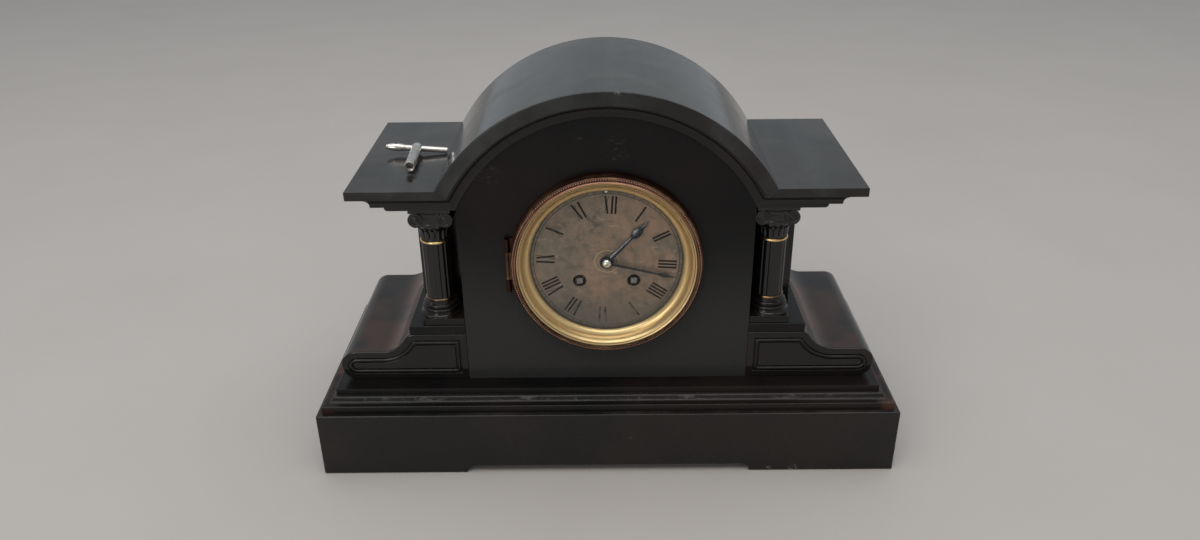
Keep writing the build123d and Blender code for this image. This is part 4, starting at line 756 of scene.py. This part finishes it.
def leaves(x):
    """Ring of upright leaves round the neck: across u and up v, each leaf's half-width is a turn round the
    column that goes as a sine of v, its face stands out from the neck by a rib at u = 0, and its tip
    turns outwards. A plain back inside the neck closes each leaf."""
    u = np.linspace(-1, 1, 9)[None, :, None]
    v = np.linspace(0, 1, 10)[:, None, None]
    turn = (np.arange(leaf_count) * 2 * math.pi / leaf_count)[None, None]
    half = leaf_lean * np.sin(math.pi * (0.12 + 0.80 * v)) ** 0.7
    rib = leaf_rib * (1 - np.abs(u)) ** 0.8 * np.sin(math.pi * (0.15 + 0.8 * v))
    out = leaf_out + rib + leaf_curl * v**4
    angle = turn + half * u
    z = capital_floor + leaf_lift + leaf_height * v - leaf_droop * u**2 * v
    sheets = []
    for radius in (out, out - leaf_gauge):
        places = np.broadcast_arrays(x + radius * np.sin(angle), column_y - radius * np.cos(angle), z)
        sheets.append(np.moveaxis(np.stack(places, -1), 2, 0))
    face, back = sheets
    rings = capped(np.concatenate([face, back[:, :, ::-1]], 2))
    rows, columns = rings.shape[1:3]
    one_leaf = quads(rows, columns, False, True)
    faces = one_leaf[None] + (np.arange(leaf_count) * rows * columns)[:, None, None]
    return rings.reshape(-1, 3), faces.reshape(-1, 4)


def eggs(x):
    """Ring of eggs under the volutes: balls stretched upright, one at each turn round the column."""
    a = np.linspace(0, 2 * math.pi, 10, endpoint=False)[None]
    b = np.linspace(-math.pi / 2, math.pi / 2, 7)[:, None]
    girth = egg_half * np.cos(b)
    ball = np.stack([girth * np.cos(a), girth * np.sin(a), egg_tall * np.sin(b) + 0 * a], -1)
    turn = np.arange(egg_count) * 2 * math.pi / egg_count
    out, depth = x + egg_circle * np.sin(turn), column_y - egg_circle * np.cos(turn)
    middles = np.stack([out, depth, np.full(egg_count, neck_top + egg_lift)], 1)
    return copies(ball.reshape(-1, 3), quads(7, 10, False, True), middles)


def hanging_line(x, y, z, sag):
    """Ridge between the volutes that hangs by a cosine of the way across."""
    s = np.linspace(-1, 1, 32)
    path = np.stack([x + ridge_reach * s, np.full(32, y), z - sag * np.cos(s * math.pi / 2)], 1)
    return round_wire(path, np.full(32, ridge_wire), (0, 1, 0))


def carving(x):
    """Scrolls on both faces, ridges between them, eggs and leaves of one capital."""
    parts = [leaves(x), eggs(x)]
    for face in (-1, 1):
        y = column_y + face * volute_face
        parts += [spiral(x + side * volute_reach, y, side) for side in (-1, 1)]
        ridge = column_y + face * (volute_face - ridge_set_back)
        parts += [hanging_line(x, ridge, z, sag) for z, sag in ridge_levels]
    return joined(parts)


for side, x in column_x.items():
    piece("capital_carving_" + side, carving(x), "case", carved_slate)


# Raised lines on the faces of the consoles, in millimetres
panel_half = 106.0
moulding_top = 68.2
console_flat = 40.0
console_ledge = 19.4
console_bulb = 12.0
scroll_hollow = 22.0
scroll_round = 8.0
scroll_turn = 60.0
line_margin = 7.2
line_half = 1.05
line_rise = 0.65
line_sunk = 0.05


def arc(x, z, radius, start, end, count):
    """Points of an arc from a start angle to an end angle, in degrees from upright, turning right."""
    angle = np.radians(np.linspace(start, end, count))
    return np.stack([x + radius * np.sin(angle), z + radius * np.cos(angle)], 1)


def console_path():
    """Console outline set in by a margin, as x from the panel and z from the slab: bulb, ledge, hollow,
    round and flat. Outward arcs lose the margin from their radius and the hollow gains it."""
    run = (scroll_hollow + scroll_round) * math.sin(math.radians(scroll_turn))
    height = 2 * console_bulb + (scroll_hollow + scroll_round) * (1 - math.cos(math.radians(scroll_turn)))
    low = console_flat + run
    m = line_margin
    straight = np.linspace(0, 1, 24)[:, None]
    foot = np.array([m, m]) + straight * np.array([low + console_ledge - m, 0])
    bulb = arc(low + console_ledge, console_bulb, console_bulb - m, 180, 0, 16)
    hollow = arc(low, 2 * console_bulb + scroll_hollow, scroll_hollow + m, 180, 180 + scroll_turn, 20)
    crown = arc(console_flat, height - scroll_round, scroll_round - m, scroll_turn, 0, 5)
    flat = np.array([console_flat, height - m]) + straight * np.array([m - console_flat, 0])
    end = np.array([m, height - m]) + straight * np.array([0, 2 * m - height])
    path = np.concatenate([foot, bulb, hollow, crown, flat[1:], end[1:-1]])
    return path[np.linalg.norm(path - np.roll(path, 1, 0), axis=1) > 0.01]


for side, sign in (("left", -1), ("right", 1)):
    x, z = console_path().T
    y = np.full(len(x), panel_front + line_sunk)
    path = np.stack([sign * (panel_half + x), y, moulding_top + z], 1)
    raised = round_wire(path, line_half, (0, 1, 0), 10, line_rise, True)
    piece("console_bead_" + side, raised, "case", console_slate)


# Floor, light and camera
floor_half = 4.0
floor_drop = 0.0003
floor_mesh = bpy.data.meshes.new("floor")
signs = ((-1, -1), (1, -1), (1, 1), (-1, 1))
corners = [(x * floor_half, y * floor_half, 0) for x, y in signs]
floor_mesh.from_pydata(corners, [], [(0, 1, 2, 3)])
floor = bpy.data.objects.new("floor", floor_mesh)
floor.location.z = -floor_drop
bpy.context.scene.collection.objects.link(floor)
floor_mesh.materials.append(floor_finish("pale_floor"))


def placed(right, up, forward, place):
    """Matrix of a camera or lamp that looks along forward from its place."""
    rows = np.column_stack([right, up, -np.asarray(forward), place]).tolist()
    return Matrix(rows + [[0, 0, 0, 1]])


def lamp(name, place, aim, size, power, colour):
    """Soft rectangular lamp that looks from its place to its aim."""
    data = bpy.data.lights.new(name, "AREA")
    data.shape = "RECTANGLE"
    data.size, data.size_y = size
    data.energy = power
    data.color = colour
    made = bpy.data.objects.new(name, data)
    way = np.array(aim, float) - np.array(place, float)
    way /= np.linalg.norm(way)
    side = np.cross(way, (0, 1, 0.01))
    side /= np.linalg.norm(side)
    made.matrix_world = placed(side, np.cross(side, way), way, place)
    bpy.context.scene.collection.objects.link(made)


lamp("ceiling", (0.0, 0.1, 2.3), (0.0, 0.1, 0.0), (3.2, 2.0), 28.0, (1.0, 0.985, 0.96))
lamp("front_strip", (-0.3, -1.2, 2.1), (0.0, -0.05, 0.1), (2.6, 0.70), 18.0, (1.0, 0.98, 0.95))
lamp("left_front", (-1.2, -2.3, 0.38), (0.0, 0.0, 0.15), (1.2, 0.6), 12.0, (1.0, 0.97, 0.93))

front_light = (0.45, 0.44, 0.43, 1.0)
back_light = (0.39, 0.42, 0.44, 1.0)
world = bpy.data.worlds.new("studio")
world.use_nodes = True
sky = world.node_tree
way = sky.nodes.new("ShaderNodeSeparateXYZ")
sky.links.new(sky.nodes.new("ShaderNodeTexCoord").outputs["Generated"], way.inputs["Vector"])
share = sky.nodes.new("ShaderNodeMapRange")
share.interpolation_type = "SMOOTHSTEP"
share.inputs["From Min"].default_value = -0.5
share.inputs["From Max"].default_value = 0.7
sky.links.new(way.outputs["Y"], share.inputs["Value"])
tint = sky.nodes.new("ShaderNodeMix")
tint.data_type = "RGBA"
tint.inputs[6].default_value = front_light
tint.inputs[7].default_value = back_light
sky.links.new(share.outputs["Result"], tint.inputs[0])
sky.links.new(tint.outputs[2], sky.nodes["Background"].inputs["Color"])
sky.nodes["Background"].inputs["Strength"].default_value = 1.0
bpy.context.scene.world = world
bpy.context.scene.view_settings.view_transform = "Standard"

focal_px = 947.8
image_width = 1200
sensor_width = 36.0
eye = np.array([-2.5, -674.5, 471.3]) * MM
pitch, roll, yaw = (math.radians(a) for a in (26.80, -0.583, 0.218))
cp, sp = math.cos(pitch), math.sin(pitch)
cr, sr = math.cos(roll), math.sin(roll)
cy, sy = math.cos(yaw), math.sin(yaw)


def yawed(x, y, z):
    """Direction turned by the camera's yaw."""
    return np.array([cy * x - sy * y, sy * x + cy * y, z])


right = yawed(cr, sp * sr, cp * sr)
up = yawed(-sr, sp * cr, cp * cr)
forward = yawed(0.0, cp, -sp)
camera_data = bpy.data.cameras.new("camera")
camera_data.sensor_fit = "HORIZONTAL"
camera_data.sensor_width = sensor_width
camera_data.lens = sensor_width * focal_px / image_width
camera_data.clip_start = 0.01
camera = bpy.data.objects.new("camera", camera_data)
camera.matrix_world = placed(right, up, forward, eye)
bpy.context.scene.collection.objects.link(camera)
bpy.context.scene.camera = camera
